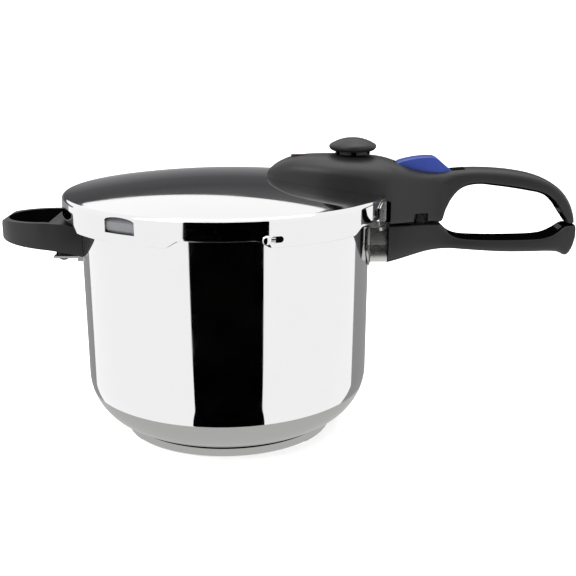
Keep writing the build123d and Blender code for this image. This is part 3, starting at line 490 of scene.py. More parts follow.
def turned_metal(name, colour, roughness):
    """Metal turned on a lathe or drawn as wire: fine rings round the axis catch the light."""
    material, tree, shader = start_material(name, Metallic=1.0)
    rings = add_node(tree, "ShaderNodeTexWave", {
        "Vector": add_node(tree, "ShaderNodeTexCoord").outputs["Object"],
        "Scale": per_metre(1.2), "Distortion": 0.6, "Detail": 2.0}, {"bands_direction": "Z"})
    rough = add_node(tree, "ShaderNodeMapRange", {
        "Value": rings.outputs["Fac"], "To Min": roughness - 0.05, "To Max": roughness + 0.08})
    bump = add_node(tree, "ShaderNodeBump", {
        "Height": rings.outputs["Fac"], "Strength": 0.1, "Distance": 0.0001})
    shader.inputs["Base Color"].default_value = colour
    plug(tree, shader, Roughness=rough.outputs["Result"], Normal=bump.outputs["Normal"])
    return material


FINISHES = {}


def finish(name):
    """The finish of that name, made the first time it is asked for."""
    if name not in FINISHES:
        colours = bpy.context.scene.cooker_colours
        makers = {
            "polished_steel": lambda: polished_stainless((*colours.steel, 1.0)),
            "satin_steel": lambda: satin_stainless((*colours.satin, 1.0)),
            "black_phenolic": lambda: moulded_phenolic((*colours.phenolic, 1.0)),
            # painted shade: near-black resin where recesses, undersides and joints lie in shadow
            "painted_shade": painted_shade_phenolic,
            "blue_button": lambda: coloured_plastic("moulded_nylon", (*colours.button, 1.0), 0.34, 1.53),
            "silicone": lambda: coloured_plastic("moulded_silicone", linear("#68696C"), 0.55, 1.41),
            "indicator_red": lambda: coloured_plastic("moulded_acetal", linear("#B0241C"), 0.3, 1.48),
            "brass": lambda: turned_metal("turned_brass", linear("#D9B36A"), 0.22),
            "aluminium_core": lambda: turned_metal("rolled_aluminium", linear("#D2D4D6"), 0.35),
            "spring_steel": lambda: turned_metal("drawn_spring_wire", linear("#B4B5B8"), 0.25),
        }
        FINISHES[name] = makers[name]()
    return FINISHES[name]


def shade_faces(piece, slot, test):
    """Gives the faces whose centre and direction pass a test a second finish."""
    piece.data.materials.append(finish(slot))
    for face in piece.data.polygons:
        if test(face.center / MM, face.normal):
            face.material_index = 1


def dress(piece, slot, body, *replaced, look=None):
    """Gives a piece its finish and body, and hides the CAD nodes that it stands for.

    The finish is the slot's own, or look where shade hides it.
    """
    piece.data.materials.clear()
    piece.data.materials.append(finish(look or slot))
    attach(piece, body)
    if replaced:
        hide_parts(*replaced)


# ---- sizes and colours
class CookerSizes(bpy.types.PropertyGroup):
    """Sizes of the visible shells."""

    lid_radius: FloatProperty(
        name="Lid radius", description="Outside of the lid's skirt",
        default=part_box("lid_shell")[1][1], unit="LENGTH", subtype="DISTANCE")
    lid_sheet: FloatProperty(
        name="Lid sheet", description="Thickness of the lid's steel",
        default=0.001, unit="LENGTH", subtype="DISTANCE")
    round_steps: IntProperty(
        name="Round steps", description="Faces round the pot and the lid",
        default=720, min=90, max=1440)


def colour_setting(name, description, hex_colour):
    """A colour property with an sRGB default."""
    return FloatVectorProperty(name=name, description=description, default=linear(hex_colour)[:3],
                               size=3, min=0, max=1, subtype="COLOR")


class CookerColours(bpy.types.PropertyGroup):
    """Colours of the finishes."""

    steel: colour_setting("Steel", "Polished steel's reflection colour", "#DCDCDC")
    satin: colour_setting("Brushed steel", "Brushed steel's reflection colour", "#BDBDBB")
    phenolic: colour_setting("Handles", "Colour of the phenolic handles", "#191919")
    button: colour_setting("Lock button", "Colour of the lock's button", "#1C3280")


# ---- pot
RIM_Z = node_top("pot_body")
POT_CORNER = 41.0
POT_WALL = 0.9
POT_FOOT_RADIUS = 110.4
POT_RIM_RADIUS = 111.5
FLOOR_Z = 6.5
RIM_GAP_RADIUS = 114.8
LUG_RADIUS = 122.6
LUG_DROP = 4.0
RIM_THICK = 1.4
LUG_CENTRES = [-53.0 + 72.0 * k for k in range(5)]
POT_LUG_HALF = 14.5
FLOOR_BLEND_RADIUS = 35.0
ROLL = 1.2
CAP_SHEET = 0.8


def pot_section(angle):
    """Section of the pot's wall, floor and rim at an angle round the axis."""
    centre = (POT_FOOT_RADIUS - POT_CORNER, FLOOR_Z + POT_CORNER)
    nearest = min(turn_apart(angle, c) for c in LUG_CENTRES)
    lug = smooth_step((POT_LUG_HALF - nearest) / 0.8 + 0.5)
    reach = RIM_GAP_RADIUS + (LUG_RADIUS - RIM_GAP_RADIUS) * lug
    under = RIM_Z - RIM_THICK - (LUG_DROP - RIM_THICK) * lug
    edge = 0.5
    points = [(0, FLOOR_Z), (FLOOR_BLEND_RADIUS, FLOOR_Z)]
    points += arc(centre, POT_CORNER, -90, 0, 40)
    points += [(POT_RIM_RADIUS - 0.55, 110.0), (POT_RIM_RADIUS - 0.05, 166.0)]
    points += [(POT_RIM_RADIUS, under - ROLL)]
    points += arc((POT_RIM_RADIUS + ROLL, under - ROLL), ROLL, 180, 90, 4)
    points += arc((reach - edge, under + edge), edge, -90, 0, 3)
    points += arc((reach - edge, RIM_Z - edge), edge, 0, 90, 3)
    points += arc((POT_RIM_RADIUS - POT_WALL + ROLL, RIM_Z - ROLL), ROLL, 90, 180, 4)
    points += [(POT_RIM_RADIUS - POT_WALL - 0.05, 166.0)]
    points += arc(centre, POT_CORNER - POT_WALL, 0, -90, 40)
    points += [(FLOOR_BLEND_RADIUS, FLOOR_Z + POT_WALL), (0, FLOOR_Z + POT_WALL)]
    return points


class COOKER_OT_pot(bpy.types.Operator):
    """Pot, its pressed base cap and a near-black ring above the cap, painted shade in the crease"""

    bl_idname = "cooker.pot"
    bl_label = "Pot"

    def execute(self, context):
        steps = context.scene.cooker_sizes.round_steps
        pot = turned("pot", pot_section, steps=steps)
        dress(pot, "polished_steel", "pot", "pot_body", "pot_floor")

        cap_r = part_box("base_cap")[1][0] / MM
        cap_z = node_top("base_cap")
        outline = [(0, 0.0), (cap_r - 12, 0.0), (cap_r - 10.6, 0.25), (cap_r - 9.2, 0.0)]
        outline += arc((cap_r - ROLL, ROLL), ROLL, -90, 0, 6)
        outline += [(cap_r, cap_z - 0.3), (cap_r - 0.3, cap_z), (cap_r - CAP_SHEET, cap_z - 0.2)]
        outline += [(cap_r - CAP_SHEET, CAP_SHEET), (0, CAP_SHEET)]
        cap = turned("pressed_base_cap", outline, steps=steps // 2)
        dress(cap, "polished_steel", "pot", "base_cap")

        # Painted shade: a near-black ring above the cap stands for the shade in the crease between pot
        # and cap.
        seam = turned("base_crease_painted_shade", [
            (cap_r - 1.0, cap_z - 1.0), (cap_r + 0.1, cap_z - 1.0), (cap_r + 0.2, cap_z - 0.6),
            (cap_r + 0.2, cap_z + 0.5), (cap_r - 1.0, cap_z + 0.5)], steps=steps // 2)
        dress(seam, "polished_steel", "pot", look="painted_shade")
        return {"FINISHED"}


# ---- lid
DOME_TOP_Z = 199.0
SHOULDER_Z = 188.5
SHOULDER_BEND = 3.0
SKIRT_LOW_Z = 168.0
NOTCH_TOP_Z = 173.2
NOTCH_SLOPE_ANGLE = 5.6
LID_LUG_INNER = 115.8
LID_LUG_THICK = 1.5
NOTCHES = [(-89.0, 17.1), (-20.2, 20.3), (55.0, 17.1), (127.0, 17.1), (199.0, 17.1)]
WINDOW_ANGLE = -122.0
SLOT_ANGLE = -70.6
SLOT_Z = 173.6
SLOT_HALF_HEIGHT = 2.2
PIP_RADIUS = 3.4
PIP_HEIGHT = 1.5
KNOB_X = 98.0
SAFETY_X = 74.0
INDICATOR_X = 57.0


def dome_radius(lid_radius):
    """Radius of the sphere that the lid's dome is part of."""
    rim = lid_radius - SHOULDER_BEND
    rise = DOME_TOP_Z - SHOULDER_Z
    return (rim * rim + rise * rise) / (2 * rise)


def lid_height(r, lid_radius):
    """Height of the lid's outer surface at a distance r from the axis."""
    rim = lid_radius - SHOULDER_BEND
    if r <= rim:
        ball = dome_radius(lid_radius)
        return DOME_TOP_Z - ball + math.sqrt(ball * ball - r * r)
    out = min(r - rim, SHOULDER_BEND)
    return SHOULDER_Z - SHOULDER_BEND + math.sqrt(max(0.0, SHOULDER_BEND ** 2 - out * out))


def skirt_rise(angle):
    """How far into a notch an angle lies: 0 on a lug, 1 where the skirt's edge is highest."""
    depth = max(half - turn_apart(angle, centre) for centre, half in NOTCHES)
    return smooth_step(depth / NOTCH_SLOPE_ANGLE)


def lid_section(lid_radius, sheet):
    """Function that gives the lid's section at an angle."""
    rim = lid_radius - SHOULDER_BEND
    bend_z = SHOULDER_Z - SHOULDER_BEND
    dome = [(rim * k / 36, lid_height(rim * k / 36, lid_radius)) for k in range(36)]
    dome_inside = [(r, z - sheet) for r, z in dome[::-1]]
    shoulder = arc((rim, bend_z), SHOULDER_BEND, 86, 0, 14)
    shoulder_inside = arc((rim, bend_z), SHOULDER_BEND - sheet, 0, 86, 8)

    def section(angle):
        rise = skirt_rise(angle)
        low = SKIRT_LOW_Z + (NOTCH_TOP_Z - SKIRT_LOW_Z) * rise
        lug = smooth_step(1 - rise * 6)
        inner = lid_radius - sheet
        reach = inner - 0.2 - (inner - 0.2 - LID_LUG_INNER) * lug
        edge = 0.45
        points = dome + shoulder
        points += [(lid_radius, low + 2.4)]
        points += arc((lid_radius - edge, low + edge), edge, 0, -90, 4)
        points += [(reach, low), (reach - 0.1, low + 0.3)]
        points += [(reach, low + LID_LUG_THICK), (inner - 0.05, low + LID_LUG_THICK + 0.1)]
        points += [(inner, low + LID_LUG_THICK + 0.8)]
        points += shoulder_inside + dome_inside
        return points

    return section


def facing(angle, radius, z):
    """Placing function for a prism that points outward at an angle from a radius."""
    a = math.radians(angle)

    def place(u, v, w):
        out = radius + w
        return mm(out * math.cos(a) - u * math.sin(a), out * math.sin(a) + u * math.cos(a), z + v)

    return place


def window_cutter(name, grow=0.0):
    """Gasket window: a flat sill, upright sides and an arched head."""
    half = 13.0 + grow
    head = [(half * math.cos(math.radians(a)), 183.2 + (3.0 + grow) * math.sin(math.radians(a)))
            for a in range(0, 181, 12)]
    outline = [(-half, 174.8 - grow), (half, 174.8 - grow)] + head
    return prism(name, outline, facing(WINDOW_ANGLE, 116.0, 0.0), 14.0)


def slot_cutter(name):
    """Drain slot with round ends."""
    outline = arc((2.3, 0), SLOT_HALF_HEIGHT, -90, 90, 8) + arc((-2.3, 0), SLOT_HALF_HEIGHT, 90, 270, 8)
    return prism(name, outline, facing(SLOT_ANGLE, 122.4, SLOT_Z), 5.0)


def lug_dimple(name, lid_radius):
    """Round pressed pip beside the drain slot, standing a little proud of the skirt."""
    place = facing(SLOT_ANGLE - 3.3, lid_radius - 0.4, 173.4)
    rings = 8
    vertices = [place(0, 0, PIP_HEIGHT)]
    faces = []
    around = 32
    for k in range(1, rings + 1):
        t = k / rings
        for j in range(around):
            a = 2 * math.pi * j / around
            r = PIP_RADIUS * t
            vertices.append(place(r * math.cos(a), r * math.sin(a), PIP_HEIGHT * math.sqrt(1 - t * t)))
    vertices.append(place(0, 0, -0.3))
    for j in range(around):
        n = (j + 1) % around
        faces.append((0, 1 + j, 1 + n))
        for k in range(rings - 1):
            a = 1 + k * around
            faces.append((a + j, a + around + j, a + around + n, a + n))
        outer = 1 + (rings - 1) * around
        faces.append((outer + j, len(vertices) - 1, outer + n))
    piece = new_piece(name, vertices, faces, 60.0)
    face_outward(piece)
    return piece


class COOKER_OT_lid(bpy.types.Operator):
    """Domed lid with its skirt, notches, gasket window and drain slot"""

    bl_idname = "cooker.lid"
    bl_label = "Lid"

    def execute(self, context):
        sizes = context.scene.cooker_sizes
        radius = sizes.lid_radius / MM
        section = lid_section(radius, sizes.lid_sheet / MM)
        lid = turned("domed_lid", section, steps=sizes.round_steps)
        holes = [round_hole("hole", x, bore, 180.0, 204.0, 48)
                 for x, bore in ((KNOB_X, 5.1), (SAFETY_X, 4.6), (INDICATOR_X, 4.0))]
        cut(lid, window_cutter("window"), slot_cutter("slot"), *holes)
        pip = lug_dimple("pip", radius)
        lid = gather("domed_lid", [lid, pip])
        dress(lid, "polished_steel", "lid", "lid_shell")
        # Painted shade: a near-black sheet behind the drain slot stands for the shade inside it.
        shade_backing = prism("slot_backing_painted_shade", [(-0.6, -2.8), (5.4, -2.8), (5.4, 2.8), (-0.6, 2.8)],
                      facing(SLOT_ANGLE, 122.72, SLOT_Z), 0.55)
        dress(shade_backing, "silicone", "lid", look="painted_shade")
        return {"FINISHED"}


# ---- lid handle
JOINT_GAP = 2.1
JOINT_Z = 165.5
HUB_MID_Z = 194.3
STUB_SLOT = (144.15, 155.35, 172.6)

# Stations of the hub over the lid: x, top z, half width. Its underside follows the dome.
NOSE = [
    (32.4, 200.9, 1.2),
    (33.6, 203.6, 4.6),
    (36.8, 206.7, 9.2),
    (41.4, 209.7, 13.6),
    (47.4, 212.4, 17.9),
    (54.4, 214.3, 22.0),
    (63.4, 215.2, 26.0),
    (74.0, 215.4, 29.6),
    (86.0, 215.4, 32.0),
    (99.0, 215.2, 33.1),
    (111.0, 214.4, 32.9),
    (120.0, 213.2, 31.6),
    (125.5, 211.9, 30.2),
]
# Behind the joint face the hub narrows into the grip: x, top z, half width
HUB = [
    NOSE[-1],
    (130.0, 210.4, 28.2),
    (137.0, 207.8, 24.8),
    (145.0, 205.3, 20.8),
    (153.0, 203.8, 17.8),
    (160.0, 203.3, 15.9),
]
# The grip: top x and z, bottom x and z, half width
GRIP = [
    (165.8, 203.6, 166.4, 165.5, 14.9),
    (168.6, 203.9, 169.4, 174.0, 14.4),
    (173.2, 204.4, 174.4, 183.6, 13.9),
    (181.0, 204.9, 182.4, 190.9, 13.4),
    (193.0, 205.2, 194.0, 193.2, 13.1),
    (206.0, 204.8, 206.4, 192.1, 13.0),
    (220.0, 203.5, 219.4, 190.4, 13.0),
    (234.0, 200.9, 231.4, 188.4, 13.0),
    (246.0, 196.8, 241.6, 186.3, 12.9),
    (255.4, 191.2, 249.2, 182.4, 12.6),
    (262.2, 184.4, 254.8, 177.0, 12.1),
    (266.6, 177.2, 258.6, 171.4, 11.4),
    (269.4, 169.6, 262.2, 166.4, 10.4),
    (270.4, 163.6, 264.4, 163.1, 9.6),
]
def lid_handle_outside(lid_radius):
    """Outer shape of the lid's handle."""
    nose = []
    for x, top, half in NOSE:
        low = max(lid_height(x, lid_radius) + 0.3, 184.7) - 4.0
        middle = low + (top - low) * 0.42
        middle += (HUB_MID_Z - middle) * smooth_step((x - 90) / 35)
        nose.append((x, top, x, low, half, 2.6, 14.0, (middle - low) / (top - low)))
    grip = [(x, top, x, JOINT_Z, half, 2.6, 14.0, (HUB_MID_Z - JOINT_Z) / (top - JOINT_Z))
            for x, top, half in HUB]
    for k, (tx, tz, bx, bz, half) in enumerate(GRIP):
        blend = smooth_step((k + 1) / 5)
        grip.append((tx, tz, bx, bz, half, 2.6 + 0.6 * blend, 14.0 - 10.0 * blend, 0.7 - 0.2 * blend))
    return moulded_bar("lid_handle_grip", [nose, grip])


def lid_handle_joint_shade(lid_radius):
    """Near-black strip under the nose, painted shade: it fills the joint between handle and lid, where
    the gap lies in shadow.
    """
    stations = []
    for x, top, half in NOSE[1:]:
        low = lid_height(x, lid_radius) - 4.0 if x < 121 else 180.0
        high = min(top - 1.5, max(low, 184.7) + 8.0)
        stations.append((x + 1.0, high, x + 1.0, low, half - 1.1, 8.0, 14.0, 0.5))
    return moulded_bar("lid_handle_joint_shade", [stations])


def lid_handle_hollow():
    """Room under the nose for the valves, open towards the lid."""
    stations = []
    for x, top, half in NOSE[2:]:
        stations.append((x + 3.0, top - 3.4, x + 3.0, 178.0, max(half - 3.6, 2.0), 2.6, 14.0, 0.5))
    stations = [s for s in stations if s[0] < 122.0]
    stations.append((122.4, 209.2, 122.4, 178.0, 27.4, 2.6, 14.0, 0.5))
    return moulded_bar("hollow", [stations], steps=3, points_round=48)


def lid_cap_cutter(lid_radius, gap):
    """The lid's outer shape and a gap more, to seat the handle on it."""
    grown = lid_radius + gap
    rim = lid_radius - SHOULDER_BEND
    dome = [(rim * k / 30, lid_height(rim * k / 30, lid_radius) + gap) for k in range(31)]
    outline = dome + arc((rim, SHOULDER_Z - SHOULDER_BEND), SHOULDER_BEND + gap, 84, 0, 10)
    outline += [(grown, 150.0), (0, 150.0)]
    return turned("seat", outline, steps=360)


class COOKER_OT_lid_handle(bpy.types.Operator):
    """Long handle on the lid, and the near-black strip under its nose that is painted shade in the joint
    """

    bl_idname = "cooker.lid_handle"
    bl_label = "Lid handle"

    def execute(self, context):
        radius = context.scene.cooker_sizes.lid_radius / MM
        handle = lid_handle_outside(radius)
        slot_low, slot_high, slot_top = STUB_SLOT
        tools = [
            lid_cap_cutter(radius, JOINT_GAP),
            lid_handle_hollow(),
            rounded_box("stub_slot", (slot_low, -40, 150), (slot_high, 40, slot_top)),
            rounded_box("button_pocket", (129.5, -8.4, 195.6), (184.0, 8.4, 230), 1.2),
            rounded_box("post_room", (145.0, 3.1, 174.6), (158.0, 7.9, 200)),
            rounded_box("bar_room", (118.0, 3.1, 174.1), (158.0, 7.9, 177.1)),
            screw_hole(135.0, 150, 169.4, 185),
            rounded_box("tongue_room", (118.0, -10.2, 178.5), (143.6, 10.2, 181.1)),
            round_hole("knob_hole", KNOB_X, 8.0, 200, 230, 64),
            rounded_box("inset_pocket", (50.4, -3.6, 200), (63.6, 3.6, 230), 3.5),
        ]
        cut(handle, *tools, crease=32.0)
        dress(handle, "black_phenolic", "lid", "lid_handle")
        # Painted shade: the grip's underside is painted near-black for the shade beneath it.
        shade_faces(handle, "painted_shade", lambda c, n: c.x > 166.5 and n.z < -0.55)

        # Painted shade: a near-black strip fills the joint under the nose for the shadow in the gap
        # between handle and lid.
        foot = lid_handle_joint_shade(radius)
        cut(foot, lid_cap_cutter(radius, 0.15), lid_handle_hollow(), crease=32.0)
        dress(foot, "black_phenolic", "lid", "lid_handle", look="painted_shade")
        return {"FINISHED"}


# ---- pot handle
# Stations: top x and z, bottom x and z, half width, fullness above and below, widest line
POT_HANDLE_BLOCK = [
    (125.6, 163.5, 125.6, 131.9, 20.0, 9.0, 4.0, 0.85),
    (134.0, 163.5, 134.6, 134.4, 18.8, 9.0, 4.0, 0.8),
    (143.0, 163.5, 145.4, 137.8, 17.0, 9.0, 4.0, 0.72),
    (152.0, 163.5, 155.0, 140.6, 15.2, 9.0, 4.0, 0.62),
    (160.0, 163.5, 162.6, 142.0, 13.8, 9.0, 4.0, 0.55),
    (165.4, 163.4, 167.6, 142.5, 13.0, 8.0, 4.0, 0.5),
]
POT_HANDLE_GRIP = [
    POT_HANDLE_BLOCK[-1],
    (169.4, 159.2, 171.0, 142.7, 12.7, 6.0, 4.0, 0.5),
    (174.6, 154.7, 175.4, 142.6, 12.5, 8.0, 3.6, 0.56),
    (182.6, 151.9, 183.0, 142.1, 12.6, 9.0, 3.4, 0.6),
    (197.0, 151.0, 197.0, 141.0, 13.0, 9.0, 3.2, 0.62),
    (216.0, 150.9, 216.0, 140.0, 13.0, 9.0, 3.2, 0.62),
    (236.0, 151.4, 236.0, 140.0, 13.0, 9.0, 3.2, 0.62),
    (248.0, 152.8, 249.0, 140.3, 12.8, 9.0, 3.2, 0.62),
    (256.4, 156.6, 258.6, 139.6, 12.2, 9.0, 3.2, 0.62),
    (262.0, 161.2, 264.6, 137.0, 11.4, 6.0, 3.4, 0.5),
    (265.4, 161.9, 267.6, 138.8, 10.8, 7.0, 3.6, 0.5),
    (268.8, 161.9, 269.8, 143.0, 10.0, 7.0, 3.6, 0.5),
    (271.2, 161.2, 271.2, 149.0, 9.2, 5.0, 3.6, 0.5),
]


class COOKER_OT_pot_handle(bpy.types.Operator):
    """Long handle on the pot with its locating stub"""

    bl_idname = "cooker.pot_handle"
    bl_label = "Pot handle"

    def execute(self, context):
        handle = moulded_bar("pot_handle_grip", [POT_HANDLE_BLOCK, POT_HANDLE_GRIP])
        stub = rounded_box("stub", (147.3, -11.0, 160.0), (153.7, 11.0, 170.4), 0.8)
        handle = fuse("pot_handle_grip", [handle, stub], 32.0)
        tools = [
            rounded_box("tongue_room", (120.0, -7.2, 145.5), (150.2, 7.2, 148.5)),
            screw_hole(139.0, 120, 140.0, 155),
        ]
        cut(handle, *tools, crease=32.0)
        dress(handle, "black_phenolic", "pot", "pot_handle")
        # Painted shadow: the grip's top is painted near-black for the shadow that the lid's handle casts
        # on it.
        shade_faces(handle, "painted_shade", lambda c, n: c.x > 166.5 and n.z > 0.75)
        return {"FINISHED"}


# ---- steel sleeve and saddle
FLANGE_RADII = (111.7, 112.7)
SADDLE_RADII = (125.0, 125.7)
LIP_RADII = (124.4, 126.6)
CHANNEL_X = 112.0


def wrapped(name, outline, inner, outer):
    """Plate bent round the upright axis: outline in degrees and height, between two radii."""
    def place(u, v, w):
        a = math.radians(u)
        r = inner + w
        return mm(r * math.cos(a), r * math.sin(a), v)

    return prism(name, outline, place, outer - inner)


def flange_outline(steps=10):
    """Flange of the sleeve, wide at the top and drawn in at the bottom."""
    side = [(15.7, 162.4), (15.7, 150.0), (15.2, 144.0), (13.4, 138.0), (10.4, 132.6)]
    side = curve_through(side, steps)
    outline = side + [(-u, v) for u, v in side[::-1]]
    result = []
    for (u0, v0), (u1, v1) in zip(outline, outline[1:] + outline[:1]):
        pieces = max(1, int(abs(u1 - u0) / 1.5))
        result += [(u0 + (u1 - u0) * k / pieces, v0 + (v1 - v0) * k / pieces) for k in range(pieces)]
    return result


class COOKER_OT_sleeve(bpy.types.Operator):
    """Steel sleeve between the pot and its handle, and the saddle between lid and handle"""

    bl_idname = "cooker.sleeve"
    bl_label = "Sleeve and saddle"

    def execute(self, context):
        flange = wrapped("sleeve", flange_outline(), *FLANGE_RADII)
        parts = [flange]
        # the sleeve is two pressed channels; the upper one sits a little deeper
        for low, high, half, bulge in ((133.6, 146.6, 14.0, 0.9), (147.0, 160.4, 13.5, 0.2)):
            outline = []
            for k in range(9):
                t = k / 8
                outline.append((half + bulge * math.sin(math.pi * t), low + (high - low) * t))
            outline += [(-u, v) for u, v in outline[::-1]]
            parts.append(prism("channel", outline, lambda u, v, w: mm(CHANNEL_X + w, u, v), 13.0))
        seam = prism("channel", [(13.0, 146.0), (13.0, 147.6), (-13.0, 147.6), (-13.0, 146.0)],
                     lambda u, v, w: mm(CHANNEL_X + w, u, v), 12.8)
        parts.append(seam)
        sleeve = gather("handle_sleeve", parts, 30.0)
        dress(sleeve, "satin_steel", "pot", "flame_guard")

        plate = [(-23.4, 169.4), (-23.0, 182.0), (-20.0, 185.6), (-16.0, 187.4)]
        plate += [(-16.0 + 2 * k, 187.4) for k in range(1, 17)]
        plate += [(20.0, 185.6), (23.0, 182.0), (23.4, 169.4)]
        plate += [(23.4 - 2.0 * k, 169.4) for k in range(1, 23)]
        saddle = wrapped("saddle", plate, *SADDLE_RADII)
        lip = []
        for side in (-1, 1):
            edge = [(side * (21.6 - 0.6 * k), 164.9) for k in range(11)]
            edge += [(u, 167.2) for u, v in edge[::-1]]
            lip.append(wrapped("lip", edge, *LIP_RADII))
        bracket = gather("handle_saddle", [saddle, *lip], 30.0)
        dress(bracket, "satin_steel", "lid")
        return {"FINISHED"}


# ---- knob and lock
class COOKER_OT_knob(bpy.types.Operator):
    """Selector knob: a domed cap over a slotted neck"""

    bl_idname = "cooker.knob"
    bl_label = "Selector knob"

    def execute(self, context):
        top = node_top("selector_knob")
        cap_r = (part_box("selector_knob")[1][0] / MM) - KNOB_X
        outline = [(0, 213.0), (5.4, 213.0), (5.4, 204.0), (7.6, 204.0), (7.6, 215.7), (13.0, 215.7)]
        outline += [(13.3, 216.0), (13.3, 218.4), (cap_r - 2.6, 218.5), (cap_r - 1.2, 219.3)]
        rim = [(cap_r - 0.3, 220.4), (cap_r, 221.6), (cap_r - 0.3, 222.7), (cap_r - 1.4, 223.7),
               (cap_r - 3.4, 224.8), (cap_r - 6.2, 226.1), (cap_r - 9.4, 227.2), (cap_r - 13.2, 228.0),
               (0, top)]
        outline += curve_through(rim, 4)
        knob = turned("knob_cap", outline, x=KNOB_X, steps=192, crease=28.0)
        slots = []
        for k in range(6):
            place = facing(60 * k - 90, 10.4, 215.0)
            slots.append(prism("neck_slot", [(-1.9, 0.5), (1.9, 0.5), (1.9, 3.3), (-1.9, 3.3)],
                               lambda u, v, w, place=place: place(u, v, w) + mm(KNOB_X, 0, 0),
                               4.0))
        cut(knob, *slots, crease=28.0)
        dress(knob, "black_phenolic", "knob", "selector_knob")
        # Painted shade: the neck and its slots under the cap are painted near-black for the shade there.
        shade_faces(knob, "painted_shade",
                    lambda c, n: c.z < 218.3 and math.hypot(c.x - KNOB_X, c.y) < 12.9)
        return {"FINISHED"}


class COOKER_OT_lock(bpy.types.Operator):
    """Blue sliding button of the lid's lock"""

    bl_idname = "cooker.lock"
    bl_label = "Lock button"

    def execute(self, context):
        back = [(131.4, 208.9), (134.0, 210.6), (141.0, 212.4), (148.0, 213.6), (155.0, 214.1),
                (160.0, 213.9)]
        front = [(163.0, 212.6), (166.6, 209.4), (170.6, 206.0), (174.6, 202.8)]
        outline = [(174.8, 196.2), (131.2, 196.2)] + curve_through(back, 4) + curve_through(front, 4)
        button = side_prism("lock_button_cap", outline, -7.9, 7.9)
        bevel(button, 0.7, 3, crease=50.0, limit=60.0)
        socket = rounded_box("post_socket", (145.4, 3.4, 190.0), (149.6, 7.6, 199.7))
        cut(button, socket, crease=50.0)
        dress(button, "blue_button", "lock", "lock_button")
        return {"FINISHED"}


# ---- side handle
SIDE_HALF = 33.5
SIDE_TOP_Z = 167.8
SIDE_END_X = -174.0
SIDE_SCREW_X = -128.5
LOOP_FULLNESS = 2.1
ROOM_CENTRE_X = -138.0


def side_handle_outline(half, end_x, centre_x, steps=48):
    """Plan of the loop: straight sides that run into a rounded end."""
    outline = [(-96.0, half)]
    reach = centre_x - end_x
    for k in range(steps + 1):
        a = math.pi * k / steps
        c = math.cos(a)
        s = math.sin(a)
        outline.append((centre_x - reach * abs(s) ** (2 / LOOP_FULLNESS),
                        half * math.copysign(abs(c) ** (2 / LOOP_FULLNESS), c)))
    outline.append((-96.0, -half))
    return outline[::-1]


def in_finger_room(point):
    """True on the walls of the loop's opening."""
    out = max(0.0, ROOM_CENTRE_X - point.x)
    reach = (out / 31.2) ** LOOP_FULLNESS + (abs(point.y) / 29.0) ** LOOP_FULLNESS
    return point.x < -131.0 and reach < 1.0


class COOKER_OT_side_handle(bpy.types.Operator):
    """Loop handle opposite the long handles"""

    bl_idname = "cooker.side_handle"
    bl_label = "Side handle"

    def execute(self, context):
        plan = prism("side_handle_loop", side_handle_outline(SIDE_HALF, SIDE_END_X, -136.0),
                     lambda u, v, w: mm(u, v, 130 + w), 50.0)
        top = [(-90.0, 161.0), (-105.5, 161.5), (-107.5, 163.6), (-119.0, 166.9), (-127.0, 167.2),
               (-134.0, SIDE_TOP_Z), (-168.4, SIDE_TOP_Z)]
        end = [(-168.4, SIDE_TOP_Z), (-170.8, 166.6), (-172.8, 162.0), (-174.3, 156.6), (-173.0, 153.6)]
        under = [(-173.0, 153.6), (-167.0, 151.6), (-154.0, 149.6), (-140.0, 147.9), (-126.0, 146.0),
                 (-106.0, 141.9)]
        profile = top[:-1] + curve_through(end, 6)[:-1] + curve_through(under, 6) + [(-90.0, 141.9)]
        slab = side_prism("slab", profile, -40.0, 40.0)
        combine(plan, [slab], "INTERSECT")
        hollow = [(min(u, -132.0), v) for u, v in side_handle_outline(28.4, -168.4, ROOM_CENTRE_X)]
        finger_room = prism("finger_room", hollow, lambda u, v, w: mm(u, v, 120 + w), 70.0)
        pot_room = turned("pot_room", [(0, 100.0), (111.15, 100.0), (111.6, 172.0), (0, 172.0)],
                          steps=360)
        cut(plan, finger_room, pot_room)
        bevel(plan, 1.4, 4, crease=40.0, limit=38.0)
        boss = rounded_box("boss", (-133.4, -8.0, 137.7), (-112.0, 8.0, 150.0), 4.0)
        loop = fuse("side_handle_loop", [plan, boss], 40.0)
        plate_room = rounded_box("plate_room", (-113.2, -22.2, 130.0), (-90.0, 22.2, 160.2))
        screw_room = round_hole("screw_room", SIDE_SCREW_X, 2.6, 120, 158, 32)
        cut(loop, plate_room, screw_room, crease=40.0)
        dress(loop, "black_phenolic", "pot", "side_handle")
        # Painted shade: the walls of the finger opening are painted near-black for the shade inside the
        # loop.
        shade_faces(loop, "painted_shade", lambda c, n: in_finger_room(c) and abs(n.z) < 0.6)

        head = [(5.4 * math.sin(math.radians(a)), 137.2 - 5.3 * math.cos(math.radians(a)))
                for a in range(9, 91, 9)]
        nut = turned("side_handle_cap_nut", [(0, 131.9)] + head + [(5.4, 138.4), (0, 138.4)],
                     x=SIDE_SCREW_X, steps=64)
        dress(nut, "black_phenolic", "pot", "side_handle_screw")
        return {"FINISHED"}


# ---- nodes kept from the frame
class COOKER_OT_inner_parts(bpy.types.Operator):
    """Finishes of the brackets, screws, valves, springs and seals"""

    bl_idname = "cooker.inner_parts"
    bl_label = "Inner parts"

    def execute(self, context):
        slots = {row["node"]: row["material_slot"] for row in frame["record"]["subparts"]}
        for name, piece in frame["nodes"].items():
            piece.data.materials.clear()
            piece.data.materials.append(finish(slots[name]))
        return {"FINISHED"}


# ---- studio
FLOOR_LIFT = 0.0006


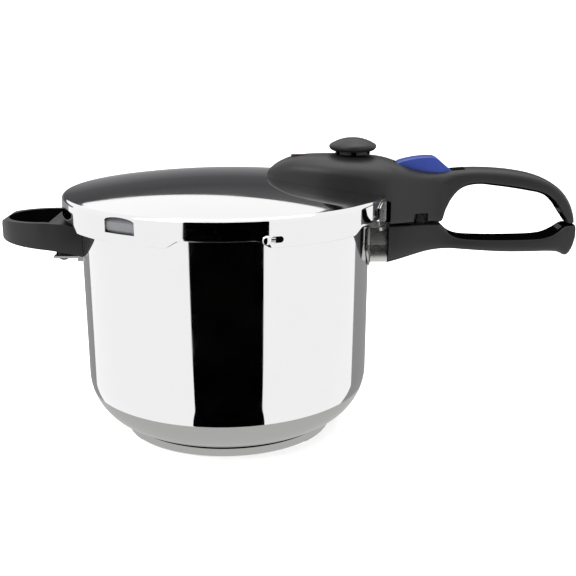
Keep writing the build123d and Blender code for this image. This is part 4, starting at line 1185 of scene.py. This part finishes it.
def card(name, outline, stops, strength=1.0):
    """Flat studio card, seen only in reflections.

    stops are (place, hex colour) from 0 to 1, up an upright card or along Y on a level one; a
    single hex colour covers the whole card.
    """
    if isinstance(stops, str):
        stops = [(0.0, stops), (1.0, stops)]
    vertices = [Vector(v) for v in outline]
    piece = new_piece(name, vertices, [tuple(range(len(outline)))])
    material, tree, shader = start_material(
        name, Roughness=1.0, Specular_IOR_Level=0.0, Emission_Strength=strength)
    shader.inputs["Base Color"].default_value = (0.0, 0.0, 0.0, 1.0)
    upright = vertices[0].z != vertices[-1].z
    along = add_node(tree, "ShaderNodeSeparateXYZ", {
        "Vector": add_node(tree, "ShaderNodeTexCoord").outputs["Generated"]})
    tone = add_node(tree, "ShaderNodeValToRGB", {
        "Fac": along.outputs["Z" if upright else "Y"]})
    set_ramp(tone, *((place, linear(colour)) for place, colour in stops))
    plug(tree, shader, Emission_Color=tone.outputs["Color"])
    piece.data.materials.append(material)
    piece.visible_camera = piece.visible_diffuse = piece.visible_shadow = False
    return piece


class COOKER_OT_studio(bpy.types.Operator):
    """Pale floor, white surround, dark cards, soft lights and the camera"""

    bl_idname = "cooker.studio"
    bl_label = "Studio"

    def execute(self, context):
        scene = context.scene
        floor = new_piece("floor", [Vector((x, y, -0.0002)) for x, y in
                                    ((-6, -6), (6, -6), (6, 6), (-6, 6))], [(0, 1, 2, 3)])
        paint, tree, shader = start_material("studio_paper", Roughness=0.8)
        grain = add_node(tree, "ShaderNodeTexNoise", {
            "Vector": add_node(tree, "ShaderNodeTexCoord").outputs["Object"],
            "Scale": per_metre(3.0), "Detail": 3.0})
        tone = add_node(tree, "ShaderNodeValToRGB", {"Fac": grain.outputs["Fac"]})
        set_ramp(tone, (0.0, linear("#F6F6F6")), (1.0, linear("#FAFAFA")))
        plug(tree, shader, Base_Color=tone.outputs["Color"], Emission_Color=tone.outputs["Color"])
        shader.inputs["Emission Strength"].default_value = 0.35
        floor.data.materials.append(paint)

        z = FLOOR_LIFT
        low = z / 2
        card("floor_card", [(-5.0, -5.0, low), (5.0, -5.0, low), (5.0, 5.0, low), (-5.0, 5.0, low)],
             "#FFFFFF", 1.22)
        card("front_card", [(-0.034, -0.128, z), (-0.062, -0.21, z), (-0.38, -0.87, z),
                            (-0.64, -1.45, z), (0.88, -1.45, z), (0.088, -0.205, z),
                            (0.048, -0.122, z)],
             "#000000")
        card("front_flag", [(-0.64, -1.45, z), (0.88, -1.45, z), (0.88, -1.45, 0.8),
                            (-0.64, -1.45, 0.8)],
             "#000000")
        card("back_floor_card", [(-0.095, -0.05, z), (0.1, -0.055, z), (1.9, 1.3, z), (1.9, 1.7, z),
                                 (-1.9, 1.7, z)],
             "#9E9E9E")
        # Painted shade: a grey disc under the pot, seen only in reflections, stands for the shaded floor
        # under the pot's rounded foot.
        foot = [(0.131 * math.cos(math.radians(a)), 0.131 * math.sin(math.radians(a)), 2 * z)
                for a in range(0, 360, 5)]
        card("under_pot_shade_card", foot, "#C4C4C2")
        card("back_card", [(-2.4, 1.5, z), (1.7, 1.5, z), (1.7, 1.5, 1.0), (0.55, 1.5, 0.995),
                           (-0.75, 1.5, 0.62), (-2.4, 1.5, 0.60)],
             [(0.0, "#B4B4B4"), (0.2, "#8A8A8C"), (0.45, "#58585A"), (0.62, "#4E4E50"),
              (1.0, "#707072")])

        world = bpy.data.worlds.new("studio_white")
        world.use_nodes = True
        sky = world.node_tree.nodes["Background"]
        sky.inputs["Color"].default_value = (1.0, 1.0, 1.0, 1.0)
        sky.inputs["Strength"].default_value = 1.25
        scene.world = world
        scene.view_settings.view_transform = "Standard"

        for name, place, size, power in (
            ("key_light", (-0.9, -0.9, 1.3), 1.0, 14.0),
            ("top_light", (0.2, 0.1, 1.5), 1.2, 10.0),
        ):
            lamp = bpy.data.lights.new(name, "AREA")
            lamp.shape = "SQUARE"
            lamp.size = size
            lamp.energy = power
            holder = bpy.data.objects.new(name, lamp)
            holder.location = place
            aim = Vector((0.05, 0, 0.12)) - Vector(place)
            holder.rotation_euler = aim.to_track_quat("-Z", "Y").to_euler()
            scene.collection.objects.link(holder)

        camera_data = bpy.data.cameras.new("camera")
        camera_data.lens = 60.9
        camera_data.sensor_width = 36.0
        camera = bpy.data.objects.new("camera", camera_data)
        camera.location = (0.04834, -0.750, 0.31052)
        camera.rotation_euler = (math.radians(90.0 - 15.052), 0.0, 0.0)
        scene.collection.objects.link(camera)
        scene.camera = camera
        return {"FINISHED"}


# ---- panel and registration
class COOKER_PT_panel(bpy.types.Panel):
    """Pressure cooker's pieces"""

    bl_label = "Pressure cooker"
    bl_idname = "COOKER_PT_panel"
    bl_space_type = "VIEW_3D"
    bl_region_type = "UI"
    bl_category = "Cooker"

    def draw(self, context):
        layout = self.layout
        for group in (context.scene.cooker_sizes, context.scene.cooker_colours):
            for name in group.__annotations__:
                layout.prop(group, name)
        for operator in OPERATORS:
            layout.operator(operator.bl_idname)


OPERATORS = (
    COOKER_OT_inner_parts,
    COOKER_OT_pot,
    COOKER_OT_lid,
    COOKER_OT_lid_handle,
    COOKER_OT_pot_handle,
    COOKER_OT_sleeve,
    COOKER_OT_knob,
    COOKER_OT_lock,
    COOKER_OT_side_handle,
    COOKER_OT_studio,
)
CLASSES = (CookerSizes, CookerColours, *OPERATORS, COOKER_PT_panel)


def register():
    for cls in CLASSES:
        bpy.utils.register_class(cls)
    bpy.types.Scene.cooker_sizes = PointerProperty(type=CookerSizes)
    bpy.types.Scene.cooker_colours = PointerProperty(type=CookerColours)


def unregister():
    del bpy.types.Scene.cooker_colours
    del bpy.types.Scene.cooker_sizes
    for cls in reversed(CLASSES):
        bpy.utils.unregister_class(cls)


def main():
    register()
    for operator in OPERATORS:
        group, name = operator.bl_idname.split(".")
        getattr(getattr(bpy.ops, group), name)()


if __name__ == "__main__":
    main()
